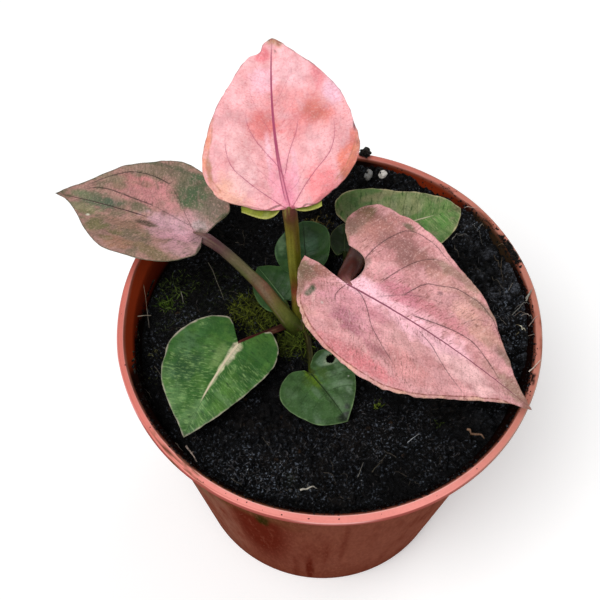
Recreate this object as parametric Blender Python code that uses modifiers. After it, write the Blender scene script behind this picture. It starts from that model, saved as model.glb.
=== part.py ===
"""Potted syngonium: a young arrowhead plant with pink and green leaves in a 12 cm nursery pot.

Everything is in metres with +Z up. The origin is the middle of the pot's foot, on the surface
that the pot stands on, and -Y is the side that the two low front leaves grow towards.
Sizes written as "number * MM" are millimetres.
"""

import math
from dataclasses import dataclass

import bmesh
import bpy
from mathutils import Vector
from mathutils.bvhtree import BVHTree

MM = 0.001
CLEARANCE = 0.3 * MM            # gap between two pieces that touch

# Nursery pot: thin thrown-plastic cone with a small rolled lip.
POT_HEIGHT = 105 * MM
RIM_RADIUS = 60 * MM
LIP_HEIGHT = 1.5 * MM
LIP_WIDTH = 2.3 * MM
LIP_ROUND = 0.6 * MM
NECK_RADIUS = 56.6 * MM         # outer wall just under the lip
BASE_RADIUS = 43.6 * MM
WALL = 0.9 * MM
FOOT_RING = 3 * MM              # width of the standing ring
FOOT_RISE = 2.6 * MM            # the floor is lifted this far between ring and middle disc
MIDDLE_DISC = 11 * MM
FLOOR = 1.3 * MM
DRAIN_HOLES = 6
DRAIN_RADIUS = 3.5 * MM
DRAIN_CIRCLE = 28 * MM
ROUND_SEGMENTS = 56

# Potting soil.
SOIL_LEVEL = 96 * MM
SOIL_RINGS = 9
HEAP_RISE = 8 * MM              # soil piled against the wall on one side
HEAP_BEARING = math.radians(40)
HEAP_START = 0.30               # shares of the radius where the heap begins and is full
HEAP_FULL = 0.78
SINK = 2.6 * MM                 # soil settled on the left
SINK_START = 30 * MM

# Short rooted stem that the main leaf stalks grow from.
CROWN_X = -8 * MM
CROWN_Y = 2 * MM
CROWN_TOP = 101.5 * MM
CROWN_ROOT_DEPTH = 9 * MM
CROWN_RADIUS = 3 * MM

LEAF_THICKNESS = 0.7 * MM
NOTCH_GROWTH = 6                # a notch bends the lines beside it more, so that none cross
NOTCH_END = 0.7                 # share of the outline that the notch bends
STALK_SIDES = 2                 # bevel resolution of every stalk
STALK_STEP = 3.2 * MM           # spacing of the points along a stalk
SEATING_ROUNDS = 6              # times that a stalk's ends are drawn towards what they touch


@dataclass
class Leaf:
    """A heart-shaped blade. Outline points are (along, across) in blade lengths.

    Each side's outline runs from the back of its lobe round to the tip, which is (1, 0).
    """
    name: str
    joint: tuple                # where the stalk meets the blade, mm
    tip: tuple                  # end of the midrib, mm
    face: tuple                 # direction that the upper side looks in
    left: list
    right: list
    fold: float = 12.0          # degrees that each half rises from the midrib
    arch: float = 0.04          # rise of the midrib's middle, in blade lengths
    bow: float = 0.0            # sideways curve of the midrib, in blade lengths
    roll_margin: float = 0.0    # how far the margin turns down, in blade lengths
    notch: tuple = ()           # how far the left lobe's inner edge bends round the sinus
    columns: int = 28
    rows: int = 4
    material: str = "leaf_pink"


@dataclass
class Stalk:
    """A leaf stalk through the given points in mm, foot first, with a radius at each end."""
    name: str
    route: list
    foot_radius: float
    top_radius: float
    material: str = "stalk_green"


LEAVES = [
    Leaf("leaf_upright", (-11.7, 7.1, 148), (-17.6, 34.5, 180), (0, -0.66, 0.75),
         [(-0.03, -0.06), (-0.05, -0.16), (0.03, -0.31), (0.12, -0.43), (0.27, -0.49),
          (0.45, -0.45), (0.66, -0.34), (0.82, -0.20), (0.92, -0.09)],
         [(-0.02, 0.05), (-0.02, 0.15), (0.06, 0.25), (0.15, 0.36), (0.30, 0.44),
          (0.48, 0.42), (0.66, 0.36), (0.80, 0.24), (0.90, 0.13)],
         fold=4, arch=0.03, roll_margin=0.03),
    Leaf("leaf_left", (-35.4, 10.7, 128), (-80.2, 27.8, 120), (0, 0, 1),
         [(-0.03, -0.09), (-0.03, -0.17), (0.05, -0.27), (0.14, -0.32), (0.30, -0.34),
          (0.46, -0.31), (0.62, -0.22), (0.76, -0.11), (0.90, -0.03)],
         [(-0.04, 0.12), (-0.08, 0.20), (-0.01, 0.29), (0.15, 0.36), (0.31, 0.38),
          (0.48, 0.33), (0.65, 0.25), (0.80, 0.14), (0.92, 0.06)],
         fold=18, arch=0.05, roll_margin=0.02),
    Leaf("leaf_right", (3.8, -1.3, 127), (54.7, -28, 112), (0, 0, 1),
         [(-0.11, -0.19), (-0.165, -0.285), (-0.12, -0.39), (0.02, -0.42), (0.20, -0.40),
          (0.38, -0.34), (0.56, -0.27), (0.72, -0.17), (0.87, -0.06)],
         [(-0.21, -0.03), (-0.21, 0.06), (-0.14, 0.21), (-0.01, 0.35), (0.17, 0.41),
          (0.36, 0.41), (0.53, 0.32), (0.72, 0.17), (0.88, 0.07)],
         fold=18, arch=0.06, roll_margin=0.03, notch=(0.165, -0.06), columns=32),
    Leaf("leaf_front_left", (-25, -9.5, 105), (-37.3, -38, 103), (0.2, -0.1, 1),
         [(-0.24, -0.16), (-0.26, -0.22), (-0.13, -0.35), (0.05, -0.39), (0.25, -0.35),
          (0.47, -0.27), (0.68, -0.18), (0.87, -0.08)],
         [(-0.16, 0.14), (-0.19, 0.22), (-0.08, 0.37), (0.10, 0.48), (0.30, 0.54),
          (0.50, 0.50), (0.66, 0.43), (0.80, 0.28), (0.91, 0.12)],
         fold=8, arch=0.05, bow=0.06, material="leaf_green"),
    Leaf("leaf_front_round", (-4.3, -15, 100), (6.6, -28.6, 99.5), (0, -0.1, 1),
         [(-0.20, -0.22), (-0.24, -0.36), (-0.08, -0.50), (0.15, -0.56), (0.42, -0.55),
          (0.62, -0.44), (0.80, -0.25)],
         [(-0.18, 0.08), (-0.22, 0.28), (-0.10, 0.52), (0.12, 0.68), (0.38, 0.68),
          (0.62, 0.57), (0.84, 0.40), (0.96, 0.15)],
         fold=5, arch=0.06, columns=22, rows=3, material="leaf_green"),
    Leaf("leaf_back_right", (12.7, 28.5, 108), (37.1, 38.3, 108.5), (0.13, -0.32, 0.94),
         [(-0.28, -0.16), (-0.38, -0.34), (-0.34, -0.49), (-0.16, -0.54), (0.10, -0.48),
          (0.37, -0.37), (0.62, -0.28), (0.85, -0.15)],
         [(-0.12, 0.12), (-0.17, 0.24), (-0.08, 0.38), (0.14, 0.45), (0.40, 0.42),
          (0.66, 0.33), (0.84, 0.23), (0.96, 0.09)],
         fold=6, arch=0.04, columns=24, rows=3, material="leaf_green"),
    Leaf("leaf_back_round", (-7.7, 17.5, 107), (-9.3, 27.6, 113), (0, -0.5, 0.86),
         [(-0.22, -0.14), (-0.27, -0.34), (-0.15, -0.57), (0.10, -0.71), (0.38, -0.73),
          (0.63, -0.59), (0.84, -0.33)],
         [(-0.18, 0.15), (-0.17, 0.35), (0.00, 0.52), (0.28, 0.61), (0.56, 0.63),
          (0.80, 0.55), (0.96, 0.27)],
         fold=4, arch=0.06, columns=20, rows=3, material="leaf_green"),
    Leaf("leaf_small_left", (-13.4, 8, 100.6), (-22, 18.2, 101.6), (0, -0.2, 1),
         [(-0.10, -0.14), (-0.14, -0.30), (0.02, -0.46), (0.30, -0.50), (0.60, -0.40),
          (0.84, -0.20)],
         [(-0.10, 0.14), (-0.14, 0.30), (0.02, 0.48), (0.30, 0.54), (0.60, 0.44),
          (0.84, 0.22)],
         fold=8, arch=0.05, columns=18, rows=3, material="leaf_green"),
    Leaf("leaf_small_back", (3.4, 26, 101.3), (2.6, 34.5, 102.8), (0, -0.3, 0.95),
         [(-0.14, -0.14), (-0.18, -0.30), (0.02, -0.46), (0.30, -0.52), (0.60, -0.44),
          (0.86, -0.22)],
         [(-0.14, 0.14), (-0.18, 0.30), (0.02, 0.46), (0.30, 0.52), (0.60, 0.44),
          (0.86, 0.22)],
         fold=8, arch=0.05, columns=18, rows=3, material="leaf_green"),
]

# In the order of the leaves that they carry.
STALKS = [
    Stalk("stalk_upright", [(-7.9, 4.3, 103.9), (-9.0, 7.2, 105.6), (-9.8, 8.9, 108.6),
                            (-10.2, 9.0, 116), (-10.9, 8.8, 132), (-11.7, 8.6, 146.5)],
          1.8, 1.5),
    Stalk("stalk_left", [(-11.9, 1.2, 103.4), (-14.6, 3.2, 106.8), (-19.4, 6.0, 111.8),
                         (-27.4, 9.0, 120.2), (-34.2, 10.3, 126.0)],
          1.9, 1.4),
    Stalk("stalk_right", [(9.3, 25.5, 0), (9.2, 25.4, 100.5), (6.6, 23.4, 107.5), (5.2, 18, 115.5),
                          (4.4, 9, 122), (3.5, 0.6, 124.7)],
          1.9, 1.6, "stalk_red"),
    Stalk("stalk_front_left", [(-11.9, 0.4, 99.6), (-14.6, -1.0, 100.6), (-19.8, -4.2, 101.4),
                               (-22.8, -6.6, 102.2), (-24.8, -9.0, 103.2)],
          1.1, 1.0, "stalk_red"),
    Stalk("stalk_front_round", [(-6.2, -1.6, 99.6), (-5.4, -5.0, 99.8), (-4.6, -10.0, 99.2),
                                (-4.3, -14.6, 98.2)],
          1.1, 0.9),
    Stalk("stalk_back_right", [(12.6, 30.6, 0), (12.6, 30.6, 101.8), (12.6, 30, 104.6),
                               (12.5, 29.2, 106.3)],
          1.1, 0.9),
    Stalk("stalk_back_round", [(-7.4, 17.2, 0), (-7.4, 17.2, 99.5), (-7.5, 17.6, 102.2),
                               (-7.7, 18.3, 105.5)],
          0.9, 0.8),
    Stalk("stalk_small_left", [(-12.2, 6.4, 0), (-12.3, 6.5, 98.4), (-12.7, 7.0, 99),
                               (-13.3, 7.7, 99.4)],
          0.7, 0.7),
    Stalk("stalk_small_back", [(3.6, 25.2, 0), (3.6, 25.2, 98.8), (3.5, 25.5, 99.6),
                               (3.4, 26.1, 100.1)],
          0.6, 0.6),
]

# Cushions of moss: name, centre x and y, half width in x and y, height, in mm.
MOSSES = [
    ("moss_cushion_left", -22, 6, 7.5, 6, 1.6),
    ("moss_cushion_front", -11.2, -5, 3.2, 3, 1.0),
    ("moss_cushion_edge", -46, 13, 5, 6, 1.6),
]

# Loose grains: name, x, y, mean radius in mm, whether it lies on the pot's rim, material.
GRAINS = [
    ("perlite_bead_white", 13.6, 51.2, 1.4, False, "perlite"),
    ("perlite_bead_grey", 9.6, 51, 1.5, False, "perlite"),
    ("soil_clod_on_rim", 8.2, 58.3, 1.8, True, "soil"),
]

# Twigs lying on the soil: name, the two ends' x and y, radius, in mm.
TWIGS = [
    ("twig_right", (39.6, -27.8), (44, -30.2), 0.4),
    ("twig_front_left", (-37.3, -36.7), (-33.8, -41.4), 0.4),
    ("twig_front", (-5.2, -48.3), (-0.8, -47.2), 0.4),
]

COLOURS = {                     # base colour, roughness
    "terracotta_plastic": ((0.42, 0.10, 0.06), 0.45),
    "soil": ((0.012, 0.010, 0.009), 0.9),
    "leaf_pink": ((0.74, 0.27, 0.27), 0.5),
    "leaf_green": ((0.06, 0.19, 0.05), 0.45),
    "stalk_green": ((0.17, 0.17, 0.04), 0.5),
    "stalk_red": ((0.14, 0.03, 0.02), 0.5),
    "moss": ((0.10, 0.13, 0.02), 0.95),
    "perlite": ((0.62, 0.60, 0.56), 0.9),
    "twig": ((0.45, 0.33, 0.2), 0.85),
}


# ---------------------------------------------------------------- helpers

def clear_scene():
    for item in list(bpy.data.objects):
        bpy.data.objects.remove(item, do_unlink=True)


def make_collection(name):
    group = bpy.data.collections.new(name)
    bpy.context.scene.collection.children.link(group)
    return group


def make_materials():
    materials = {}
    for name, (colour, roughness) in COLOURS.items():
        material = bpy.data.materials.new(name)
        material.use_nodes = True
        shader = material.node_tree.nodes["Principled BSDF"]
        shader.inputs["Base Color"].default_value = (*colour, 1)
        shader.inputs["Roughness"].default_value = roughness
        shader.inputs["Metallic"].default_value = 0
        material.diffuse_color = (*colour, 1)
        materials[name] = material
    return materials


def keep(item, name, group, material=None):
    """Name an object, give it its material and move it into a collection."""
    item.name = name
    item.data.name = name
    if material is not None:
        item.data.materials.clear()
        item.data.materials.append(material)
    for owner in list(item.users_collection):
        owner.objects.unlink(item)
    group.objects.link(item)
    return item


def mark_cutter(item, name, group):
    keep(item, name, group)
    item.hide_render = True
    item.display_type = "WIRE"
    return item


def as_mesh(item):
    """Replace an object's mesh with its evaluated one, modifiers applied."""
    graph = bpy.context.evaluated_depsgraph_get()
    mesh = bpy.data.meshes.new_from_object(item.evaluated_get(graph))
    item.modifiers.clear()
    item.data = mesh
    return item


def turned(profile, segments):
    """Turn a list of (radius, height) about Z. The profile runs down its outer side."""
    mesh = bpy.data.meshes.new("profile")
    mesh.from_pydata([(radius, 0, height) for radius, height in profile],
                     [(i, i + 1) for i in range(len(profile) - 1)], [])
    item = bpy.data.objects.new("turned", mesh)
    bpy.context.scene.collection.objects.link(item)
    screw = item.modifiers.new("Turn", "SCREW")
    screw.angle = math.tau
    screw.steps = segments
    screw.render_steps = segments
    screw.use_merge_vertices = True
    screw.merge_threshold = 0.00001
    screw.use_smooth_shade = False
    return item


def cut(item, cutter):
    boolean = item.modifiers.new("Cut " + cutter.name, "BOOLEAN")
    boolean.operation = "DIFFERENCE"
    boolean.solver = "EXACT"
    boolean.object = cutter


def smooth_curve(points, share):
    """Point at a share, 0 to 1, of a Catmull-Rom curve through the points."""
    spans = len(points) - 1
    place = min(max(share, 0.0), 1.0) * spans
    first = min(int(place), spans - 1)
    t = place - first
    p1, p2 = points[first], points[first + 1]
    p0 = points[first - 1] if first > 0 else 2 * p1 - p2
    p3 = points[first + 2] if first + 2 <= spans else 2 * p2 - p1
    return 0.5 * (2 * p1 + (p2 - p0) * t + (2 * p0 - 5 * p1 + 4 * p2 - p3) * t ** 2
                  + (3 * p1 - p0 - 3 * p2 + p3) * t ** 3)


def smoothstep(value):
    value = min(max(value, 0.0), 1.0)
    return value * value * (3 - 2 * value)


# ---------------------------------------------------------------- pot

def outer_radius(height):
    return BASE_RADIUS + (NECK_RADIUS - BASE_RADIUS) * height / (POT_HEIGHT - LIP_HEIGHT)


def inner_radius(height):
    return outer_radius(height) - WALL


def arc(centre, radius, start, end, steps):
    """Points of an arc in the profile's plane, angles in degrees from the outward direction."""
    points = []
    for step in range(steps + 1):
        angle = math.radians(start + (end - start) * step / steps)
        points.append((centre[0] + radius * math.cos(angle), centre[1] + radius * math.sin(angle)))
    return points


def pot_inside():
    """Inside of the pot from the middle of its floor up to the neck."""
    floor_top = FOOT_RISE + FLOOR
    neck = POT_HEIGHT - LIP_HEIGHT
    slope = 1.2 * MM
    return [(0, FLOOR), (MIDDLE_DISC - slope, FLOOR), (MIDDLE_DISC, floor_top),
            (inner_radius(floor_top) - slope, floor_top),
            (inner_radius(floor_top + slope), floor_top + slope),
            (inner_radius(neck), neck)]


def pot_profile():
    lip_inner = RIM_RADIUS - LIP_WIDTH
    lip_bottom = POT_HEIGHT - LIP_HEIGHT
    corner = POT_HEIGHT - LIP_ROUND
    inner_lip = arc((lip_inner + LIP_ROUND, corner), LIP_ROUND, 180, 90, 2)
    outer_lip = arc((RIM_RADIUS - LIP_ROUND, corner), LIP_ROUND, 90, 0, 2)
    under_lip = arc((RIM_RADIUS - LIP_ROUND / 2, lip_bottom + LIP_ROUND / 2), LIP_ROUND / 2,
                    0, -90, 1)
    edge = 0.8 * MM
    ring_inner = BASE_RADIUS - FOOT_RING
    below = [(outer_radius(lip_bottom), lip_bottom), (outer_radius(edge), edge),
             (BASE_RADIUS - edge, 0), (ring_inner, 0), (ring_inner - edge, FOOT_RISE),
             (MIDDLE_DISC + WALL + edge, FOOT_RISE), (MIDDLE_DISC + WALL, 0), (0, 0)]
    return pot_inside() + inner_lip + outer_lip + under_lip + below


def make_pot(parts, cutters, material):
    pot = keep(turned(pot_profile(), ROUND_SEGMENTS), "nursery_pot", parts, material)
    for number in range(DRAIN_HOLES):
        bearing = math.tau * number / DRAIN_HOLES
        bpy.ops.mesh.primitive_cylinder_add(
            vertices=12, radius=DRAIN_RADIUS, depth=4 * FLOOR,
            location=(DRAIN_CIRCLE * math.cos(bearing), DRAIN_CIRCLE * math.sin(bearing),
                      FOOT_RISE + FLOOR / 2))
        hole = mark_cutter(bpy.context.object, f"drain_cutter_{number + 1}", cutters)
        cut(pot, hole)
    return pot


# ---------------------------------------------------------------- soil and what lies on it

def soil_height(x, y):
    """Height of the soil's surface: settled on the left, heaped on the back right."""
    radius = NECK_RADIUS - WALL
    heap = (x * math.cos(HEAP_BEARING) + y * math.sin(HEAP_BEARING)) / radius
    height = SOIL_LEVEL + HEAP_RISE * smoothstep((heap - HEAP_START) / (HEAP_FULL - HEAP_START))
    height -= SINK * smoothstep((-x - SINK_START) / (radius - SINK_START))
    mound = ((x - CROWN_X) ** 2 + (y - CROWN_Y) ** 2) / (14 * MM) ** 2
    height += 1.0 * MM * math.exp(-mound)
    height += 0.35 * MM * math.sin(x / (7 * MM) + 1.0) * math.cos(y / (6 * MM))
    return height


def make_soil(parts, cutters, material):
    inside = pot_inside()
    below = [(max(radius - CLEARANCE, 0), height + CLEARANCE) for radius, height in inside[:-1]]
    edge = (inner_radius(SOIL_LEVEL) - CLEARANCE, SOIL_LEVEL)
    top = [(edge[0] * ring / SOIL_RINGS, SOIL_LEVEL) for ring in range(SOIL_RINGS)]
    soil = as_mesh(turned(top + [edge] + below[::-1], ROUND_SEGMENTS))
    for vertex in soil.data.vertices:
        if vertex.co.z < SOIL_LEVEL - CLEARANCE:
            continue
        vertex.co.z = soil_height(vertex.co.x, vertex.co.y)
        reach = math.hypot(vertex.co.x, vertex.co.y)
        if reach > edge[0] - CLEARANCE:
            fit = (inner_radius(vertex.co.z) - CLEARANCE) / reach
            vertex.co.x *= fit
            vertex.co.y *= fit
    keep(soil, "potting_soil", parts, material)
    surface = BVHTree.FromObject(soil, bpy.context.evaluated_depsgraph_get())
    bpy.ops.mesh.primitive_cylinder_add(
        vertices=16, radius=CROWN_RADIUS + CLEARANCE, depth=4 * CROWN_ROOT_DEPTH,
        location=(CROWN_X, CROWN_Y, root_end() - CLEARANCE + 2 * CROWN_ROOT_DEPTH))
    cut(soil, mark_cutter(bpy.context.object, "root_socket_cutter", cutters))
    return surface


def ground(surface, x, y, reach=0.0):
    """Highest point of the soil under a place, or under a circle of the given radius."""
    spots = [(x, y)]
    for eighth in range(8):
        bearing = math.tau * eighth / 8
        spots.append((x + reach * math.cos(bearing), y + reach * math.sin(bearing)))
    above = POT_HEIGHT + HEAP_RISE
    down = Vector((0, 0, -1))
    return max(surface.ray_cast(Vector((a, b, above)), down)[0].z for a, b in spots)


def root_end():
    return soil_height(CROWN_X, CROWN_Y) - CROWN_ROOT_DEPTH


def make_crown(parts, material):
    """Tapered stem stub, set into a socket in the soil."""
    top = CROWN_TOP
    profile = [(0, top), (0.55 * CROWN_RADIUS, top - 0.4 * MM), (0.75 * CROWN_RADIUS, top - 1.5 * MM),
               (CROWN_RADIUS, top - 4 * MM), (0.9 * CROWN_RADIUS, root_end() + 2 * MM),
               (0.5 * CROWN_RADIUS, root_end()), (0, root_end())]
    crown = keep(turned(profile, 16), "crown_stem", parts, material)
    crown.location = (CROWN_X, CROWN_Y, 0)
    return crown


def make_moss(parts, material, surface, name, x, y, half_x, half_y, height):
    """A low cushion that follows the soil: a sphere pressed flat on its underside."""
    bpy.ops.mesh.primitive_uv_sphere_add(segments=16, ring_count=8, radius=1)
    moss = keep(bpy.context.object, name, parts, material)
    underside = 0.12
    for vertex in moss.data.vertices:
        vertex.co.x = (x + vertex.co.x * half_x) * MM
        vertex.co.y = (y + vertex.co.y * half_y) * MM
        rise = vertex.co.z if vertex.co.z > 0 else underside * vertex.co.z
        lift = CLEARANCE + (rise + underside) * height * MM
        vertex.co.z = ground(surface, vertex.co.x, vertex.co.y) + lift
    return moss


def make_grain(parts, material, surface, name, x, y, radius, on_rim):
    """A lumpy grain lying on the soil or on the pot's rim."""
    bpy.ops.mesh.primitive_ico_sphere_add(subdivisions=2, radius=radius * MM)
    grain = keep(bpy.context.object, name, parts, material)
    for vertex in grain.data.vertices:
        lump = math.sin(3.1 * vertex.co.x / (radius * MM) + x) * math.cos(2.3 * vertex.co.y / (radius * MM))
        vertex.co *= 1 + 0.1 * lump
    lowest = min(vertex.co.z for vertex in grain.data.vertices)
    floor = POT_HEIGHT if on_rim else ground(surface, x * MM, y * MM, radius * MM / 2)
    grain.location = (x * MM, y * MM, floor + CLEARANCE - lowest)
    return grain


def make_tube(name, group, material, points, radii):
    """A tube through the points, with a radius at each of them and closed ends."""
    curve = bpy.data.curves.new(name, "CURVE")
    curve.dimensions = "3D"
    curve.bevel_depth = 1
    curve.bevel_resolution = STALK_SIDES
    curve.use_fill_caps = True
    spline = curve.splines.new("POLY")
    spline.points.add(len(points) - 1)
    for spot, place, radius in zip(spline.points, points, radii):
        spot.co = (*place, 1)
        spot.radius = radius
    item = bpy.data.objects.new(name, curve)
    bpy.context.scene.collection.objects.link(item)
    return keep(item, name, group, material)


def make_twig(parts, material, surface, name, start, end, radius):
    points = []
    for share in (0, 0.5, 1):
        x = (start[0] + (end[0] - start[0]) * share) * MM
        y = (start[1] + (end[1] - start[1]) * share) * MM
        height = ground(surface, x, y, radius * MM) + CLEARANCE + radius * MM
        points.append(Vector((x, y, height)))
    return make_tube(name, parts, material, points, [radius * MM] * len(points))


# ---------------------------------------------------------------- leaves and stalks

def blade_axes(leaf):
    """Joint, length and the blade's three directions: along, to the right, and up."""
    joint = Vector(leaf.joint) * MM
    spine = Vector(leaf.tip) * MM - joint
    along = spine.normalized()
    up = Vector(leaf.face)
    up = (up - up.dot(along) * along).normalized()
    return joint, spine.length, along, along.cross(up), up


def blade_spot(leaf, side, turn, reach):
    """Flat place on a blade: turn 0 is the lobe's inner edge and 1 the midrib, reach 0 to 1."""
    outline = [Vector(point) for point in (leaf.left if side < 0 else leaf.right)]
    rim = smooth_curve(outline + [Vector((1, 0))], turn)
    bend = rim / 2 + Vector((0, 2 * leaf.bow * turn ** 3))
    if side < 0 and leaf.notch:
        bend += Vector(leaf.notch) * (1 + NOTCH_GROWTH * turn) * (1 - smoothstep(turn / NOTCH_END))
    return 2 * reach * (1 - reach) * bend + reach ** 2 * rim


def blade_point(leaf, side, turn, reach):
    """Place in space of a spot on the blade's middle surface."""
    joint, length, along, right, up = blade_axes(leaf)
    spot = blade_spot(leaf, side, turn, reach)
    across = spot.y * math.cos(math.radians(leaf.fold))
    crease = 0.04
    lift = math.sin(math.radians(leaf.fold)) * (math.hypot(spot.y, crease) - crease)
    lift += 4 * leaf.arch * spot.x * (1 - spot.x)
    lift -= leaf.roll_margin * (1 - turn) * smoothstep((reach - 0.6) / 0.4)
    return joint + length * (spot.x * along + across * right + lift * up)


def make_leaf(parts, material, leaf):
    """Map a grid onto the blade, from the left lobe over the tip to the right lobe."""
    bpy.ops.mesh.primitive_grid_add(x_subdivisions=leaf.columns, y_subdivisions=leaf.rows, size=2)
    blade = keep(bpy.context.object, leaf.name, parts, material)
    for vertex in blade.data.vertices:
        side = -1 if vertex.co.x < 0 else 1
        turn = 1 - abs(vertex.co.x)
        reach = (vertex.co.y + 1) / 2
        vertex.co = blade_point(leaf, side, turn, reach)
    cage = bmesh.new()
    cage.from_mesh(blade.data)
    bmesh.ops.remove_doubles(cage, verts=cage.verts, dist=0.00001)
    bmesh.ops.recalc_face_normals(cage, faces=cage.faces)
    cage.to_mesh(blade.data)
    cage.free()
    shell = blade.modifiers.new("Thickness", "SOLIDIFY")
    shell.thickness = LEAF_THICKNESS
    shell.offset = 0
    return blade


def surface_of(item):
    """Corner points and a search tree of an object's surface, modifiers applied."""
    shown = item.evaluated_get(bpy.context.evaluated_depsgraph_get())
    mesh = shown.to_mesh()
    corners = [shown.matrix_world @ vertex.co for vertex in mesh.vertices]
    tree = BVHTree.FromPolygons(corners, [tuple(face.vertices) for face in mesh.polygons])
    shown.to_mesh_clear()
    return corners, tree


def way_to(item, other):
    """The shortest step from one object's surface to another's."""
    corners, tree = surface_of(item)
    other_corners, other_tree = surface_of(other)
    steps = [other_tree.find_nearest(corner)[0] - corner for corner in corners]
    steps += [corner - tree.find_nearest(corner)[0] for corner in other_corners]
    return min(steps, key=lambda step: step.length)


def stalk_tube(parts, material, stalk, route):
    length = sum((b - a).length for a, b in zip(route, route[1:]))
    count = max(4, round(length / STALK_STEP))
    points = [smooth_curve(route, step / count) for step in range(count + 1)]
    radii = [(stalk.foot_radius + (stalk.top_radius - stalk.foot_radius) * step / count) * MM
             for step in range(count + 1)]
    return make_tube(stalk.name, parts, material, points, radii)


def make_stalk(parts, material, surface, stalk, crown, blade):
    """A leaf stalk, drawn up to its blade. A foot at height 0 in the route stands on the soil."""
    route = [Vector(point) * MM for point in stalk.route]
    ends = [(-1, blade)]
    if stalk.route[0][2] == 0:
        route[0].z = ground(surface, *route[0].xy, stalk.foot_radius * MM) + CLEARANCE
    else:
        ends.append((0, crown))
    for _ in range(SEATING_ROUNDS):
        for end, neighbour in ends:
            trial = stalk_tube(parts, material, stalk, route)
            step = way_to(trial, neighbour)
            route[end] += step * (1 - CLEARANCE / step.length)
            bpy.data.objects.remove(trial, do_unlink=True)
    return stalk_tube(parts, material, stalk, route)


def build():
    clear_scene()
    parts = make_collection("potted_syngonium")
    cutters = make_collection("cutters")
    materials = make_materials()
    make_pot(parts, cutters, materials["terracotta_plastic"])
    surface = make_soil(parts, cutters, materials["soil"])
    crown = make_crown(parts, materials["stalk_green"])
    blades = [make_leaf(parts, materials[leaf.material], leaf) for leaf in LEAVES]
    for stalk, blade in zip(STALKS, blades):
        make_stalk(parts, materials[stalk.material], surface, stalk, crown, blade)
    for moss in MOSSES:
        make_moss(parts, materials["moss"], surface, *moss)
    for name, x, y, radius, on_rim, material in GRAINS:
        make_grain(parts, materials[material], surface, name, x, y, radius, on_rim)
    for twig in TWIGS:
        make_twig(parts, materials["twig"], surface, *twig)


build()
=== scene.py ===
"""Looks of the potted syngonium: leaves, stalks, wet peat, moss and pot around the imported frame.

Everything is in metres with +Z up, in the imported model's frame. Tables give millimetres, and a
blade's outline, veins and patches are (along, across) in blade lengths: the stalk's joint is
(0, 0), the tip is (1, 0), and across is positive to the right of the midrib.
"""

import functools
import itertools
import math
import random
from dataclasses import dataclass, field

import bmesh
import bpy
import numpy as np
from mathutils import Euler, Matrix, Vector


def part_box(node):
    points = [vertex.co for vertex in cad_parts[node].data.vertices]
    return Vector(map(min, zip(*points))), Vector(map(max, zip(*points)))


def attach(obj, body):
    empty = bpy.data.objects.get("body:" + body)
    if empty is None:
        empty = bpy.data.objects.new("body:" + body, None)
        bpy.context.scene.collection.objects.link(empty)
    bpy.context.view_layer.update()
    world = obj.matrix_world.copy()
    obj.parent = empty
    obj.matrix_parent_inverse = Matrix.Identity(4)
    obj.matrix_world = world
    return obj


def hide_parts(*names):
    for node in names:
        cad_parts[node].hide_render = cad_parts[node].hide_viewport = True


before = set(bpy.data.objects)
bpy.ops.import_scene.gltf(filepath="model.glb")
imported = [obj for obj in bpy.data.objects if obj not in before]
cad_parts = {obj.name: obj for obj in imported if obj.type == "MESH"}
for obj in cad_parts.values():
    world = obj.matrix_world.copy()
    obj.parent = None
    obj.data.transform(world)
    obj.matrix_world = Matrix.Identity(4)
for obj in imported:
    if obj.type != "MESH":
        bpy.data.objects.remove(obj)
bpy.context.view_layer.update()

MM = 0.001

# Camera and picture.
CAMERA_PLACE = (0, -0.152, 0.376)
CAMERA_TARGET = (-0.0087, 0.0058, 0.105)
CAMERA_ROLL = math.radians(0.5)
CAMERA_LENS = 66

# Pot, as in the solid model, but with a lip 0.05 mm wider and sharper at its edges.
POT_HEIGHT = 105 * MM
RIM_RADIUS = 60 * MM
LIP_HEIGHT = 1.5 * MM
LIP_WIDTH = 2.35 * MM
LIP_ROUND = 0.35 * MM
LIP_BOTTOM = POT_HEIGHT - LIP_HEIGHT
LIP_INNER_RADIUS = RIM_RADIUS - LIP_WIDTH
NECK_RADIUS = 56.6 * MM
BASE_RADIUS = 43.6 * MM
WALL = 0.9 * MM
FOOT_RING = 3 * MM
FOOT_RISE = 2.6 * MM
MIDDLE_DISC = 11 * MM
FLOOR = 1.3 * MM
POT_SEGMENTS = 420

# Soil, as in the solid model.
SOIL_LEVEL = 96 * MM
HEAP_RISE = 8 * MM
HEAP_BEARING = math.radians(40)
HEAP_START = 0.30
HEAP_FULL = 0.78
SINK = 2.6 * MM
SINK_START = 30 * MM
CROWN_X = -8 * MM
CROWN_Y = 2 * MM
MOUND_REACH = 14 * MM
MOUND_RISE = 1.0 * MM

SOIL_CELLS = 290
CORE_SIDES = 96

BLADE_THICKNESS = 0.4 * MM


def srgb(red, green, blue):
    """Linear colour of a screen colour given from 0 to 255."""
    return tuple(c / 12.92 if c <= 0.04045 else ((c + 0.055) / 1.055) ** 2.4
                 for c in (red / 255, green / 255, blue / 255))


# ---------------------------------------------------------------- numbers

def smoothstep(value):
    value = np.clip(value, 0, 1)
    return value * value * (3 - 2 * value)


def ramp(value, start, width, ragged=0):
    """0 up to the start, rising smoothly to 1 a width further on. A negative width turns it round."""
    return smoothstep((value - start) / width + ragged)


def band(value, middle, half, crown=2):
    """1 where a value is near the middle, fading to 0 at crown half widths from it."""
    return smoothstep(crown - np.abs(value - middle) / half)


def blot(across, along, centre, half, crown, ragged=0):
    """1 in an oval about a centre, fading to 0 at crown half widths from it."""
    away = np.hypot((across - centre[0]) / half[0], (along - centre[1]) / half[1])
    return smoothstep(crown - away + ragged)


def reach_of(points):
    """Distance from the pot's axis."""
    return np.hypot(points[:, 0], points[:, 1])


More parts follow.
